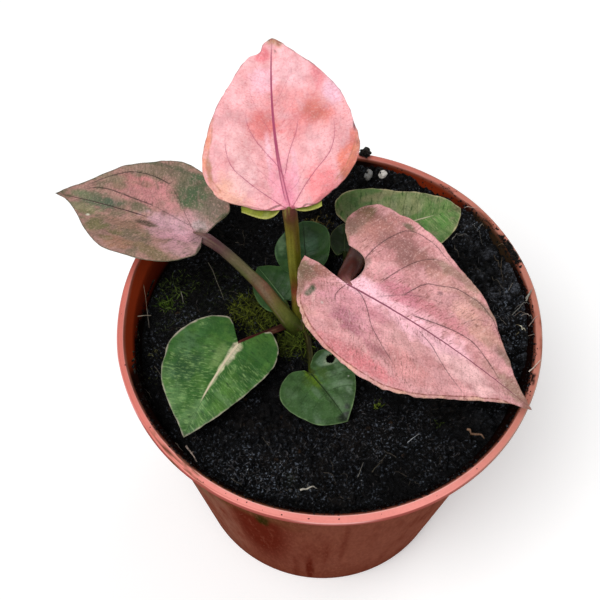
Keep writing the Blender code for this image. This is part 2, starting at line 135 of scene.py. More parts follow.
def bearing_of(points):
    """Degrees round the pot: 0 in front, 90 on the right."""
    return np.degrees(np.arctan2(points[:, 0], -points[:, 1]))


def smooth_curve(points, share):
    """Points at shares, 0 to 1, of a Catmull-Rom curve through the points."""
    points = np.asarray(points, float)
    spans = len(points) - 1
    place = np.clip(share, 0, 1) * spans
    first = np.minimum(place.astype(int), spans - 1)
    t = (place - first)[..., None]
    ends = np.concatenate([2 * points[:1] - points[1:2], points, 2 * points[-1:] - points[-2:-1]])
    p0, p1, p2, p3 = (ends[first + step] for step in range(4))
    return 0.5 * (2 * p1 + (p2 - p0) * t + (2 * p0 - 5 * p1 + 4 * p2 - p3) * t ** 2
                  + (3 * p1 - p0 - 3 * p2 + p3) * t ** 3)


def scrambled(cells, seed):
    """A number from 0 to 1 for each whole-numbered cell of an (n, k) array."""
    mixed = np.full(len(cells), 374761393 * (seed + 1), np.int64)
    for axis, prime in zip(range(cells.shape[1]), (668265263, 2147483647, 1274126177)):
        mixed ^= cells[:, axis].astype(np.int64) * prime
        mixed = (mixed ^ (mixed >> 13)) * 1103515245 & 0x7FFFFFFFFFFF
    return ((mixed ^ (mixed >> 16)) & 0xFFFF) / 0xFFFF


def noise(points, size, seed=0, octaves=1):
    """Smooth noise from -1 to 1 whose blobs are size across, at (n, k) points."""
    points = np.asarray(points, float)
    total, weight, scale = np.zeros(len(points)), 0.0, 1.0
    for octave in range(octaves):
        place = points / size * 2 ** octave
        cell = np.floor(place)
        t = smoothstep(place - cell)
        for corner in itertools.product((0, 1), repeat=points.shape[1]):
            share = np.prod(np.where(corner, t, 1 - t), axis=1)
            total += scale * share * (2 * scrambled(cell + corner, seed + 7 * octave) - 1)
        weight += scale
        scale *= 0.5
    return total / weight


def domes(places, size, seed, flat=1.0):
    """Height, in sizes, of a surface of packed round grains at (n, 2) places."""
    cell = np.floor(places / size)
    best = np.zeros(len(places))
    for step in itertools.product((-1, 0, 1), repeat=2):
        near = cell + step
        centre = near + 0.5 + 0.7 * (np.stack([scrambled(near, seed), scrambled(near, seed + 1)], 1) - 0.5)
        radius = 0.38 + 0.34 * scrambled(near, seed + 2)
        gap = np.hypot(*(places / size - centre).T)
        dome = flat * np.sqrt(np.maximum(radius ** 2 - gap ** 2, 0))
        best = np.maximum(best, dome * (0.6 + 0.6 * scrambled(near, seed + 3)))
    return best


def line_distance(places, line):
    """Signed distance from (n, 2) places to a line, and the share of the line that is nearest."""
    best = np.full(len(places), 1e9)
    share = np.zeros(len(places))
    count = len(line) - 1
    for number in range(count):
        start, span = line[number], line[number + 1] - line[number]
        offset = places - start
        t = np.clip(offset @ span / max(span @ span, 1e-12), 0, 1)
        gap = offset - t[:, None] * span
        distance = np.hypot(*gap.T)
        side = np.where(span[0] * offset[:, 1] - span[1] * offset[:, 0] < 0, -1.0, 1.0)
        nearer = distance < np.abs(best)
        best = np.where(nearer, distance * side, best)
        share = np.where(nearer, (number + t) / count, share)
    return best, share


# ---------------------------------------------------------------- mesh helpers

def grid_faces(rows, columns, closed=False, start=0):
    """Quads of a grid of points stored row by row. A closed grid joins its last column to its first."""
    wide = columns if closed else columns - 1
    row, column = np.meshgrid(np.arange(rows - 1), np.arange(wide), indexing="ij")
    here = row * columns + column
    beside = row * columns + (column + 1) % columns
    quads = np.stack([here, beside, beside + columns, here + columns], -1)
    return quads.reshape(-1, 4) + start


def add_piece(name, points, faces, material, slot, stands_for=(), **layers):
    """Make a smooth mesh piece that rides on the root. Layers are per-point arrays for its material."""
    mesh = bpy.data.meshes.new(name)
    faces = faces.tolist() if isinstance(faces, np.ndarray) else faces
    mesh.from_pydata(np.asarray(points).tolist(), [], faces)
    mesh.shade_smooth()
    for layer, values in layers.items():
        values = np.asarray(values, np.float32)
        if values.ndim == 1:
            mesh.attributes.new(layer, "FLOAT", "POINT").data.foreach_set("value", values)
        elif layer == "tint":
            full = np.concatenate([values, np.ones((len(values), 1), np.float32)], 1)
            mesh.attributes.new(layer, "FLOAT_COLOR", "POINT").data.foreach_set("color", full.ravel())
        else:
            mesh.attributes.new(layer, "FLOAT_VECTOR", "POINT").data.foreach_set("vector", values.ravel())
    mesh.materials.append(material)
    piece = bpy.data.objects.new(name, mesh)
    bpy.context.scene.collection.objects.link(piece)
    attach(piece, "root")
    if stands_for:
        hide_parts(*stands_for)
    return piece


class Paint:
    """Colours of a set of points, laid on coat by coat."""

    def __init__(self, points, *ground):
        self.colours = np.tile(srgb(*ground), (len(points), 1)).astype(float)

    def lay(self, share, *colour):
        share = np.clip(share, 0, 1)[:, None]
        self.colours = self.colours * (1 - share) + share * np.array(srgb(*colour))


class Heap:
    """Collects many small shapes into the points, faces and tints of one mesh."""

    def __init__(self):
        self.points, self.faces, self.tints, self.count = [], [], [], 0

    def add(self, points, faces, tint):
        self.points.append(points)
        self.faces.append(np.asarray(faces) + self.count)
        self.tints.append(np.broadcast_to(tint, (len(points), 3)))
        self.count += len(points)

    def piece(self, name, material, slot, stands_for=()):
        return add_piece(name, np.concatenate(self.points), np.concatenate(self.faces), material, slot,
                         stands_for, tint=np.concatenate(self.tints))


def tube(route, radii, sides, flatten=1.0):
    """Points and quads of a tube with pinched ends along (n, 3) route points."""
    route = np.asarray(route, float)
    ahead = np.gradient(route, axis=0)
    ahead /= np.linalg.norm(ahead, axis=1)[:, None]
    side = np.cross(ahead[0], (0.1, 0.2, 1.0))
    rings = []
    for place, direction, radius in zip(route, ahead, radii):
        side = side - side @ direction * direction
        side /= np.linalg.norm(side)
        other = np.cross(direction, side)
        turn = np.arange(sides) * math.tau / sides
        rings.append(place + radius * (np.cos(turn)[:, None] * side
                                       + flatten * np.sin(turn)[:, None] * other))
    return np.concatenate(rings), grid_faces(len(route), sides, closed=True)


# ---------------------------------------------------------------- node materials

class Finish:
    """A Principled material, with short names for the nodes that feed it. Its colour starts as the paint."""

    def __init__(self, name, painted=True, **constants):
        self.material = bpy.data.materials.new(name)
        self.material.use_nodes = True
        self.tree = self.material.node_tree
        self.shader = self.tree.nodes["Principled BSDF"]
        self.place = self.tree.nodes.new("ShaderNodeTexCoord").outputs["Object"]
        self.colour = self.layer("tint") if painted else None
        for socket, value in constants.items():
            self.feed(socket.replace("_", " "), value)

    def feed(self, socket, value):
        """Set or link one of the shader's inputs."""
        self._connect(self.shader.inputs[socket], value)

    def _connect(self, socket, value):
        if isinstance(value, bpy.types.NodeSocket):
            self.tree.links.new(value, socket)
        elif socket.type == "RGBA":
            socket.default_value = (*value, 1)
        else:
            socket.default_value = value

    def node(self, kind, inputs, **settings):
        item = self.tree.nodes.new("ShaderNode" + kind)
        for name, value in settings.items():
            setattr(item, name, value)
        for socket, value in inputs.items():
            self._connect(item.inputs[socket], value)
        return item

    def layer(self, name, output="Color"):
        return self.node("Attribute", {}, attribute_name=name).outputs[output]

    def split(self, vector):
        return self.node("SeparateXYZ", {"Vector": vector}).outputs

    def stretched(self, factors):
        """The object's own coordinates, scaled along each axis."""
        return self.node("Mapping", {"Vector": self.place, "Scale": factors}).outputs["Vector"]

    def noise(self, size, detail=3.0, roughness=0.55, source=None):
        return self.node("TexNoise", {"Vector": source or self.place, "Scale": 1 / size,
                                      "Detail": detail, "Roughness": roughness}).outputs["Fac"]

    def cells(self, size, feature="DISTANCE_TO_EDGE", source=None):
        return self.node("TexVoronoi", {"Vector": source or self.place, "Scale": 1 / size},
                         feature=feature).outputs["Distance"]

    def grade(self, value, low, high, start=0.0, end=1.0):
        """Smooth step of a value from low to high, mapped to start and end."""
        return self.node("MapRange", {"Value": value, "From Min": low, "From Max": high,
                                      "To Min": start, "To Max": end},
                         interpolation_type="SMOOTHSTEP").outputs["Result"]

    def maths(self, operation, first, second=0.0):
        return self.node("Math", {0: first, 1: second}, operation=operation).outputs[0]

    def product(self, *values):
        return functools.reduce(lambda first, second: self.maths("MULTIPLY", first, second), values)

    def mix(self, share, first, second):
        item = self.tree.nodes.new("ShaderNodeMix")
        item.data_type = "RGBA"
        self._connect(item.inputs[0], share)
        self._connect(item.inputs[6], first)
        self._connect(item.inputs[7], second)
        return item.outputs[2]

    def lay(self, share, colour):
        """Lay a colour over the colour so far."""
        self.colour = self.mix(share, self.colour, colour)

    def bump(self, height, depth, strength=1.0, under=None):
        inputs = {"Height": height, "Distance": depth, "Strength": strength}
        if under is not None:
            inputs["Normal"] = under
        return self.node("Bump", inputs).outputs["Normal"]


# ---------------------------------------------------------------- pot

def outer_radius(height):
    return BASE_RADIUS + (NECK_RADIUS - BASE_RADIUS) * height / LIP_BOTTOM


def inner_radius(height):
    return outer_radius(height) - WALL


def arc(centre, radius, start, end, steps):
    angles = np.radians(np.linspace(start, end, steps + 1))
    return [(centre[0] + radius * math.cos(a), centre[1] + radius * math.sin(a)) for a in angles]


def wall_points(radius_at, start, end, steps):
    return [(radius_at(height), height) for height in np.linspace(start, end, steps + 1)]


def pot_profile():
    """The pot's section as (radius, height), from inside its floor over the lip to its foot."""
    floor_top = FOOT_RISE + FLOOR
    ring_inner = BASE_RADIUS - FOOT_RING
    edge = 0.8 * MM
    slope = 1.2 * MM
    under_edge = 0.3 * MM
    inside = [(MIDDLE_DISC - slope, FLOOR), (MIDDLE_DISC, floor_top)]
    inside += [(inner_radius(floor_top) - slope, floor_top)]
    inside += wall_points(inner_radius, floor_top + slope, LIP_BOTTOM - 0.9 * MM, 44)
    inside += [(NECK_RADIUS - 0.6 * MM, LIP_BOTTOM - 0.3 * MM),
               (NECK_RADIUS + 0.2 * MM, LIP_BOTTOM + 0.5 * MM),
               (LIP_INNER_RADIUS - 0.2 * MM, LIP_BOTTOM + 1.05 * MM)]
    lip = arc((LIP_INNER_RADIUS + LIP_ROUND, POT_HEIGHT - LIP_ROUND), LIP_ROUND, 180, 90, 6)
    lip += [(RIM_RADIUS - step * MM, POT_HEIGHT) for step in (1.3, 1.0, 0.7, 0.5, 0.42)]
    lip += arc((RIM_RADIUS - LIP_ROUND, POT_HEIGHT - LIP_ROUND), LIP_ROUND, 90, 0, 9)
    lip += arc((RIM_RADIUS - under_edge, LIP_BOTTOM + under_edge), under_edge, 0, -90, 3)
    lip += [(NECK_RADIUS + 0.5 * MM, LIP_BOTTOM), (NECK_RADIUS + 0.1 * MM, LIP_BOTTOM - 0.2 * MM)]
    outside = wall_points(outer_radius, LIP_BOTTOM - 1.0 * MM, edge, 84)
    foot = arc((BASE_RADIUS - edge, edge), edge, 0, -90, 4)
    foot += [(ring_inner, 0), (ring_inner - edge, FOOT_RISE), (MIDDLE_DISC + WALL + edge, FOOT_RISE),
             (MIDDLE_DISC + WALL, 0)]
    return inside + lip + outside + foot


def outer_wall(points):
    """1 on the pot's outside below the lip, 0 elsewhere."""
    low = points[:, 2] < LIP_BOTTOM
    return np.where(low & (reach_of(points) > inner_radius(points[:, 2]) + WALL / 2), 1.0, 0.0)


def lip_share(bearing):
    """How wide the lip is at a bearing, in lip widths: it reads narrower at the sides than in front."""
    return 0.78 + 0.22 * band(bearing, 0, 42, 1.6) - 0.2 * band(bearing, -116, 12)


# Dark drips down the wall: centre as (bearing in degrees, depth in mm), half width and height, strength.
WALL_DRIPS = [((-2.4, 82), (1.3, 17), 0.9), ((3.5, 60), (0.9, 14), 0.45), ((9, 44), (1.0, 22), 0.45),
              ((-8, 84), (1.2, 16), 0.45)]


def paint_wall(lay, bearing, depth, clouds, fine):
    """Brick plastic outside, mottled, with a wet patch and a tuft of moss in front, and painted shade
    towards the foot.
    """
    lay(0.6 * smoothstep(0.3 + 1.6 * clouds), 130, 74, 58)
    lay(0.5 * smoothstep(0.3 - 1.8 * clouds), 108, 50, 36)
    lay(0.45 * smoothstep(2.2 * fine), 130, 74, 56)
    lay(0.3 * smoothstep(-2.2 * fine), 102, 46, 32)
    right = ramp(bearing, 14, 30) * ramp(bearing, 100, -30)
    lay(0.6 * right * smoothstep(0.7 + 1.4 * fine), 138, 82, 66)
    left = ramp(bearing, -27, -6) * ramp(bearing, -100, 30)
    lay(0.6 * left * smoothstep(0.6 + 1.4 * fine), 140, 96, 80)
    # Darker towards the foot: painted shade.
    lay(0.5 * ramp(depth, 76, 30, 0.5 * clouds), 102, 44, 28)
    under_lip = smoothstep(1.5 - (depth - 18) / 12 + 0.4 * clouds)
    lay(0.7 * under_lip * ramp(bearing, -40, 10) * ramp(bearing, 4, -24), 92, 60, 32)
    ragged = 0.5 * fine + 0.3 * clouds
    wet = blot(bearing, depth, (-19, 40), (8.5, 36), 1.6, 0.4 * ragged)
    wet = wet * ramp(bearing, -28.5, 1.5, ragged) * ramp(depth, 20, 8)
    lay(0.95 * wet, 92, 30, 18)
    lay(0.3 * wet * smoothstep(2.5 * fine - 0.4), 112, 52, 38)
    for centre, half, strength in WALL_DRIPS:
        lay(strength * blot(bearing, depth, centre, half, 1.6, ragged), 88, 26, 14)
    lay(blot(bearing, depth, (-17.3, 26), (1.9, 5), 1.6, 0.8 * fine), 42, 38, 8)
    lay(0.5 * blot(bearing, depth, (-44, 24), (8, 14), 1.5, 0.9 * fine), 112, 92, 66)


def paint_inside(lay, points, bearing, depth, clouds):
    """Dark red inside, painted darker deeper down as shade, near black where peat has been and in front as
    painted shade below the lip, clean high up on the left and at the back.
    """
    inside = (reach_of(points) < inner_radius(points[:, 2]) + WALL / 2) & (depth > LIP_HEIGHT / MM * 0.6)
    inside |= (reach_of(points) < LIP_INNER_RADIUS - 0.02 * MM) & (depth > 0.9) & (depth < 1.45)
    inside = np.where(inside, 1.0, 0.0)
    lay(inside, 112, 38, 16)
    # Darker deeper inside the pot: painted shade.
    lay(inside * 0.85 * ramp(depth, 2, 8, 0.5 * clouds), 78, 20, 6)
    clean = ramp(bearing, -68, -7) + band(bearing, 152, 14, 1.4)
    # Near black: peat on the wall, and in front painted shade below the lip.
    dark_below = smoothstep(depth - 1.4 - 8 * ramp(bearing, -70, -34) + 1.5 * noise(points, 3 * MM, 9, 3))
    patchy = smoothstep(2 * noise(points, 4 * MM, 9, 3) - 0.6)
    soil_and_shade = 1 - clean * (1 - np.where(bearing < 0, dark_below, patchy))
    lay(0.99 * inside * soil_and_shade, 9, 5, 4)


def paint_lip(lay, points, bearing, depth, out, clouds):
    """Coral lip: palest in front, worn and chalky at the right, with soil smeared on it, painted shade on
    its outer face and painted highlights along its edges.
    """
    width = LIP_WIDTH / MM
    lip = ramp(depth, 1.7, -0.35) * smoothstep((out - width) / -0.12 + 0.6)
    front = band(bearing, 6, 44, 1.6)
    lay(lip, 220, 126, 114)
    lay(lip * front, 242, 152, 143)
    lay(lip * 0.35 * smoothstep(1.3 * clouds), 206, 110, 98)
    # The outer face and outer rounding of the lip: painted shade.
    face = lip * np.maximum(ramp(out, 0.34, -0.14), ramp(depth, 0.3, 0.1) * (out < 0.6))
    lay(face * 0.95, 160, 80, 72)
    # A thin pale line on the outer edge in front: painted highlight.
    lay(face * band(bearing, 4, 9, 1.5) * band(out, 0.14, 0.08) * (depth < 0.5), 236, 170, 164)
    # On the left the face is pale coral again, without the painted shade.
    lay(face * ramp(bearing, -50, -10) * ramp(bearing, -100, 20), 232, 156, 152)
    # A pale line along the rounded inner edge, strongest in front: painted highlight.
    lay(0.8 * lip * band(out, width - 0.16, 0.09) * (0.4 + 0.6 * front), 252, 196, 186)
    # A thin darker line 0.75 mm in from the edge, on the left and in front: painted shade for a groove.
    lay(0.5 * lip * band(out, 0.75, 0.08) * band(bearing, -60, 50, 1.5), 190, 98, 84)
    lay(lip * ramp(bearing, -94, -16), 182, 92, 80)
    right = band(bearing, 102, 62, 1.3)
    lay(lip * (0.8 * right), 176, 118, 101)
    lay(lip * right * ramp(out, 0.5, -0.2) * 0.8, 186, 156, 142)
    worn = noise(np.stack([bearing / 5, out * 1.2, 0 * out], 1), 1.0, 11, 3)
    lay(0.75 * lip * right * smoothstep(2.6 * worn - 0.1), 134, 74, 56)
    smear = noise(np.stack([bearing / 4, out * 3.2, 0 * out], 1), 1.0, 12, 3)
    left_front = band(bearing, -40, 7)
    lay(0.85 * lip * left_front * smoothstep(2.6 * smear + 0.25), 128, 84, 60)
    lay(0.85 * lip * left_front * smoothstep(3 * smear - 0.9), 66, 34, 20)
    inward = (width - out) / 1.3
    soil_side = np.maximum(band(bearing, 117, 4), 0.75 * band(bearing, 73, 2.5))
    heap = smoothstep((1.5 * soil_side - 0.55 - 0.5 * inward + 1.4 * noise(points, 3 * MM, 18, 4)) * 2.5)
    lay(lip * heap * smoothstep(3 * soil_side), 24, 20, 17)
    drift = smoothstep((0.3 - inward + 1.2 * noise(points, 2.4 * MM, 21, 3)) * 2.5)
    lay(0.9 * lip * drift * band(bearing, 128, 12), 76, 38, 28)
    green = band(bearing, 124, 7) * ramp(inward, 0.6, -0.5, worn)
    lay(0.6 * green * ramp(depth, 2.5, -1), 52, 40, 26)


def pot_tint(points):
    """Plastic colour at each point, by its bearing, depth below the lip and distance in from the edge."""
    bearing = bearing_of(points)
    depth = (POT_HEIGHT - points[:, 2]) / MM
    out = (RIM_RADIUS - reach_of(points)) / MM
    tall = points * (1, 1, 0.2)
    clouds = noise(tall, 12 * MM, 5, 3)
    coat = Paint(points, 125, 70, 55)
    paint_wall(coat.lay, bearing, depth, clouds, noise(tall, 2.4 * MM, 6, 4))
    paint_inside(coat.lay, points, bearing, depth, clouds)
    paint_lip(coat.lay, points, bearing, depth, out, clouds)
    return coat.colours


def pot_finish():
    skin = Finish("terracotta_plastic", Specular_IOR_Level=0.0)
    wall = skin.layer("wall", "Fac")
    tall = skin.stretched((1, 1, 0.22))
    grain = skin.noise(0.8 * MM, 4, source=tall)
    shade = skin.maths("ADD", 0.05, skin.product(wall, 0.16))
    skin.lay(skin.product(skin.grade(grain, 0.62, 0.36), shade), srgb(74, 30, 18))
    dust = skin.grade(skin.noise(1.6 * MM, 5, 0.7, source=tall), 0.5, 0.7)
    skin.lay(skin.product(dust, wall, 0.3), srgb(136, 78, 60))
    specks = skin.grade(skin.cells(2.2 * MM, "F1"), 0.10, 0.06)
    skin.lay(skin.product(specks, skin.grade(skin.noise(4 * MM, 3), 0.54, 0.62)), srgb(70, 36, 26))
    crumbs = skin.grade(skin.cells(1.2 * MM, "F1", source=skin.stretched((1, 1, 0.5))), 0.14, 0.08)
    chosen = skin.grade(skin.noise(3 * MM, 3, source=tall), 0.53, 0.62, 0.0, 0.5)
    skin.lay(skin.product(crumbs, wall, chosen), srgb(168, 118, 96))
    skin.feed("Base Color", skin.colour)
    skin.feed("Roughness", skin.grade(skin.noise(5 * MM, 4), 0.3, 0.7, 0.32, 0.5))
    streaks = skin.noise(1.2 * MM, 3, source=skin.stretched((1, 1, 0.08)))
    rough = skin.bump(streaks, 0.05 * MM, 0.35)
    skin.feed("Normal", skin.bump(grain, 0.05 * MM, 0.4, rough))
    return skin.material


def make_pot():
    profile = np.array(pot_profile())
    turn = np.arange(POT_SEGMENTS) * math.tau / POT_SEGMENTS
    rings = np.stack([profile[:, :1] * np.cos(turn), profile[:, :1] * np.sin(turn),
                      np.repeat(profile[:, 1:], POT_SEGMENTS, 1)], -1)
    points = rings.reshape(-1, 3)
    wobble = 0.25 * MM * noise(points * (1, 1, 0.3), 30 * MM, 2) * smoothstep(points[:, 2] / POT_HEIGHT)
    tint, wall = pot_tint(points), outer_wall(points)
    radius = reach_of(points)
    narrow = np.maximum(RIM_RADIUS - radius, 0) * (1 - lip_share(bearing_of(points)))
    on_lip = (radius > 55.9 * MM) & (points[:, 2] > LIP_BOTTOM + 0.1 * MM)
    points[:, :2] *= (1 + np.where(on_lip, narrow, 0) / radius)[:, None]
    points[:, :2] *= (1 - np.abs(wobble) / RIM_RADIUS)[:, None]
    faces = grid_faces(len(profile), POT_SEGMENTS, closed=True).tolist()
    last = (len(profile) - 1) * POT_SEGMENTS
    faces += [list(range(POT_SEGMENTS)), list(range(last + POT_SEGMENTS - 1, last - 1, -1))]
    return add_piece("pot", points, faces, pot_finish(), "terracotta_plastic", ("nursery_pot",),
                     tint=tint, wall=wall)


# ---------------------------------------------------------------- soil

def soil_level(x, y):
    """The soil's smooth surface: settled on the left, heaped on the back right."""
    radius = NECK_RADIUS - WALL
    heap = (x * math.cos(HEAP_BEARING) + y * math.sin(HEAP_BEARING)) / radius
    height = SOIL_LEVEL + HEAP_RISE * ramp(heap, HEAP_START, HEAP_FULL - HEAP_START)
    height = height - SINK * ramp(-x, SINK_START, radius - SINK_START)
    mound = ((x - CROWN_X) ** 2 + (y - CROWN_Y) ** 2) / MOUND_REACH ** 2
    return height + MOUND_RISE * np.exp(-mound)


def soil_height(x, y):
    """The crumbled surface: clods, crumbs and grains."""
    places = np.stack([x, y], 1)
    drift = places + 1.2 * MM * np.stack([noise(places, 3 * MM, 21, 2), noise(places, 3 * MM, 22, 2)], 1)
    clumpy = smoothstep(0.45 + 0.9 * noise(places, 22 * MM, 23) + 14 * (x + 0.3 * y))
    height = soil_level(x, y) + 0.8 * MM * noise(places, 9 * MM, 24, 2)
    height += (0.4 + 2.6 * clumpy) * MM * domes(drift, 5.2 * MM, 31, 0.9)
    height += (0.9 + 1.4 * clumpy) * MM * domes(drift, 2.3 * MM, 35, 1.0)
    height += 1.1 * MM * domes(drift, 1.15 * MM, 39, 1.0)
    height += 0.3 * MM * noise(drift, 0.8 * MM, 43, 2)
    return height - 1.3 * MM


def soil_finish():
    """Wet black peat: painted blue-grey glints on the grains, gathered in patches, pale painted sparkles on
    some grains, and black between them.
    """
    earth = Finish("wet_peat", Specular_IOR_Level=0.12)
    ground = earth.colour
    shine = earth.layer("shine", "Fac")
    shade = earth.grade(earth.noise(0.6 * MM, 3, 0.6), 0.42, 0.60, 0.1, 1.0)
    earth.colour = earth.mix(shade, (0.001, 0.001, 0.0012), ground)
    # Painted highlights: the glints and sparkles below gather in random patches and in the patches of
    # painted highlight.
    patchy = earth.grade(earth.noise(6 * MM, 5, 0.7), 0.47, 0.62, 0.02, 0.6)
    patchy = earth.maths("MAXIMUM", patchy, shine)
    painted_glint = earth.grade(earth.noise(0.70 * MM, 3, 0.6), 0.565, 0.66)
    earth.lay(earth.product(painted_glint, patchy), srgb(108, 116, 128))
    # Pale specks on chosen grains: painted sparkles.
    flecks = earth.grade(earth.cells(1.1 * MM, "F1"), 0.17, 0.10)
    chosen = earth.grade(earth.noise(1.7 * MM, 2), 0.56, 0.62)
    earth.lay(earth.product(flecks, chosen, patchy), srgb(176, 182, 188))
    earth.feed("Base Color", earth.colour)
    wet = earth.noise(1.3 * MM, 4, 0.7)
    earth.feed("Roughness", earth.grade(wet, 0.42, 0.6, 0.3, 0.8))
    grains = earth.bump(earth.noise(0.45 * MM, 5, 0.75), 0.5 * MM, 1.0)
    earth.feed("Normal", earth.bump(earth.cells(0.7 * MM, "F1"), 0.35 * MM, 0.8, grains))
    return earth.material


def soil_tint(points):
    """Nearly black, greyer on the clods of the right side, green where moss starts on the left, with painted
    light on raised grains and painted shade in hollows and near the wall.
    """
    x, y = points[:, 0] / MM, points[:, 1] / MM
    coat = Paint(points, 8, 8, 10)
    coat.lay(smoothstep(0.2 + 1.6 * noise(points, 5 * MM, 51, 3)), 20, 16, 13)
    left = smoothstep(1.3 - np.hypot(x + 28, y - 8) / 20)
    coat.lay(smoothstep(2 * (noise(points, 9 * MM, 52, 3) + 0.6 * left - 0.35)), 22, 28, 8)
    level = soil_level(points[:, 0], points[:, 1])
    # Painted light and shade by height: raised grains lighter, hollows darker.
    painted_height_light = ramp(points[:, 2], level, 1.6 * MM, 0.4)
    clods = blot(x, y, (50, 6), (14, 34), 1.3, 0.5 * noise(points, 5 * MM, 53, 3))
    # The clods' grey is laid on their raised tops: partly their own colour, partly painted light.
    coat.lay(clods * painted_height_light ** 2 * smoothstep(0.5 + 1.5 * noise(points, 2.2 * MM, 54, 3)), 58, 60, 66)
    # Painted shade near the pot's wall, except on the clods.
    shaded = ramp(np.hypot(x, y), 50.5, 4)
    return coat.colours * ((0.1 + 1.4 * painted_height_light) * (1 - 0.7 * shaded * (1 - clods)))[:, None]


# Patches of soil where highlights are painted: centre and half width in mm, strength.
PAINTED_SHINES = [((-15, -44), (22, 9), 1.0), ((14, -29), (14, 9), 0.7), ((52, 3), (7, 18), 0.8),
          ((-2, -36), (16, 7), 0.5), ((-30, -34), (9, 7), 0.35), ((40, 38), (9, 8), 0.6),
          ((-42, 2), (5, 9), 0.3), ((32, -36), (8, 6), 0.5)]


def soil_shine(points):
    """Where highlights are painted on the wet grains, as if they caught the light."""
    shine = np.zeros(len(points))
    ragged = 0.8 * noise(points, 5 * MM, 55, 4)
    for centre, half, strength in PAINTED_SHINES:
        patch = blot(points[:, 0] / MM, points[:, 1] / MM, centre, half, 1.3, ragged)
        shine = np.maximum(shine, strength * patch)
    return shine


def disc_points(cells, radius):
    """An even grid mapped onto a disc."""
    a, b = np.meshgrid(np.linspace(-1, 1, cells + 1), np.linspace(-1, 1, cells + 1), indexing="ij")
    a, b = a.ravel(), b.ravel()
    wide = np.abs(a) > np.abs(b)
    reach = np.where(wide, a, b)
    safe_a, safe_b = np.where(a == 0, 1, a), np.where(b == 0, 1, b)
    angle = np.where(wide, math.pi / 4 * b / safe_a, math.pi / 2 - math.pi / 4 * a / safe_b)
    return radius * reach * np.cos(angle), radius * reach * np.sin(angle)


def make_soil():
    """The crumbled top, and a plain core that fills the pot below it."""
    edge = inner_radius(SOIL_LEVEL)
    x, y = disc_points(SOIL_CELLS, edge)
    z = soil_height(x, y)
    reach = np.hypot(x, y)
    fit = (inner_radius(np.minimum(z, POT_HEIGHT - 2 * MM)) + 0.2 * MM) / edge
    pull = ramp(reach / edge, 0.9, 0.1)
    x, y = x * (1 + (fit - 1) * pull), y * (1 + (fit - 1) * pull)
    top = np.stack([x, y, z], 1)
    faces = grid_faces(SOIL_CELLS + 1, SOIL_CELLS + 1)
    core_heights = np.linspace(FOOT_RISE + FLOOR + 0.3 * MM, SOIL_LEVEL - 5 * MM, 12)
    turn = np.arange(CORE_SIDES) * math.tau / CORE_SIDES
    rings = [(1 * MM, core_heights[0])] + [(inner_radius(h) - 0.4 * MM, h) for h in core_heights]
    rings += [(1 * MM, core_heights[-1])]
    core = np.concatenate([np.stack([radius * np.cos(turn), radius * np.sin(turn), 0 * turn + height], 1)
                           for radius, height in rings])
    points = np.concatenate([top, core])
    faces = np.concatenate([faces, grid_faces(len(rings), len(turn), True, len(top))])
    return add_piece("soil", points, faces, SOIL_FINISH, "soil", ("potting_soil",), tint=soil_tint(points),
                     shine=soil_shine(points))


def lump(level=2):
    """Points and triangles of a small rounded lump of radius 1."""
    shape = bmesh.new()
    bmesh.ops.create_icosphere(shape, subdivisions=level, radius=1)
    points = np.array([vertex.co[:] for vertex in shape.verts])
    faces = np.array([[vertex.index for vertex in face.verts] for face in shape.faces])
    shape.free()
    return points, faces


def lumpy(unit, centre, radius, seed, squash=0.8):
    """A crumb: the unit lump with an uneven surface, at a place."""
    rough = 1 + 0.34 * noise(unit + 9.7 * seed, 0.9, seed) + 0.12 * noise(unit + 3.1 * seed, 0.4, seed)
    stretch = 0.75 + 0.5 * scrambled(np.array([[seed, 1, 0], [seed, 2, 0], [seed, 3, 0]]), 5)
    return centre + unit * rough[:, None] * stretch * radius * (1, 1, squash)


# Loose things on the soil lie within this reach of the pot's axis, in mm.
SOIL_REACH = 53
LOOSE_CRUMBS = 900


def make_crumbs(dice):
    """Loose grains and clods, larger on the right, where the soil is heaped."""
    unit, faces = lump()
    heap = Heap()
    for number in range(LOOSE_CRUMBS):
        bearing, reach = dice.uniform(0, math.tau), math.sqrt(dice.uniform(0, 1)) * SOIL_REACH * MM
        x, y = reach * math.cos(bearing), reach * math.sin(bearing)
        loose = (x + 0.3 * y) / (50 * MM)
        radius = dice.uniform(0.3, 0.7) * MM * (1 + 0.9 * max(loose, 0) * dice.uniform(0, 1))
        z = soil_height(np.array([x]), np.array([y]))[0]
        points = lumpy(unit, (x, y, z + 0.25 * radius), radius, number)
        shade = dice.uniform(0.5, 1.8)
        kind = dice.uniform(0, 1)
        base = srgb(13, 13, 15) if kind < 0.88 else srgb(48, 50, 56) if kind < 0.96 else srgb(50, 36, 24)
        heap.add(points, faces, np.array(base) * shade)
    return heap.piece("soil_crumbs", SOIL_FINISH, "soil")


# ---------------------------------------------------------------- fibres, twigs and grains

def wisp(heap, start, end, lift, radius, tint, dice, sides=5, steps=12, wander=1.2):
    """A thin strand between two places in mm, arching by lift mm: on the soil unless heights are given."""
    share = np.linspace(0, 1, steps + 1)
    x = (start[0] + (end[0] - start[0]) * share) * MM
    y = (start[1] + (end[1] - start[1]) * share) * MM
    swing = noise(np.stack([share * 3, 0 * share + dice.uniform(0, 99)], 1), 1.0, 61) * wander * MM
    ahead = np.array([end[0] - start[0], end[1] - start[1]])
    ahead = ahead / max(np.hypot(*ahead), 1e-6)
    x, y = x - ahead[1] * swing, y + ahead[0] * swing
    ground = soil_height(x, y) if len(start) == 2 else (start[2] + (end[2] - start[2]) * share) * MM
    z = ground + radius * MM + lift * MM * 4 * share * (1 - share)
    route = np.stack([x, y, z], 1)
    radii = radius * MM * (1 - 0.6 * share)
    points, faces = tube(route, radii, sides)
    heap.add(points, faces, tint)


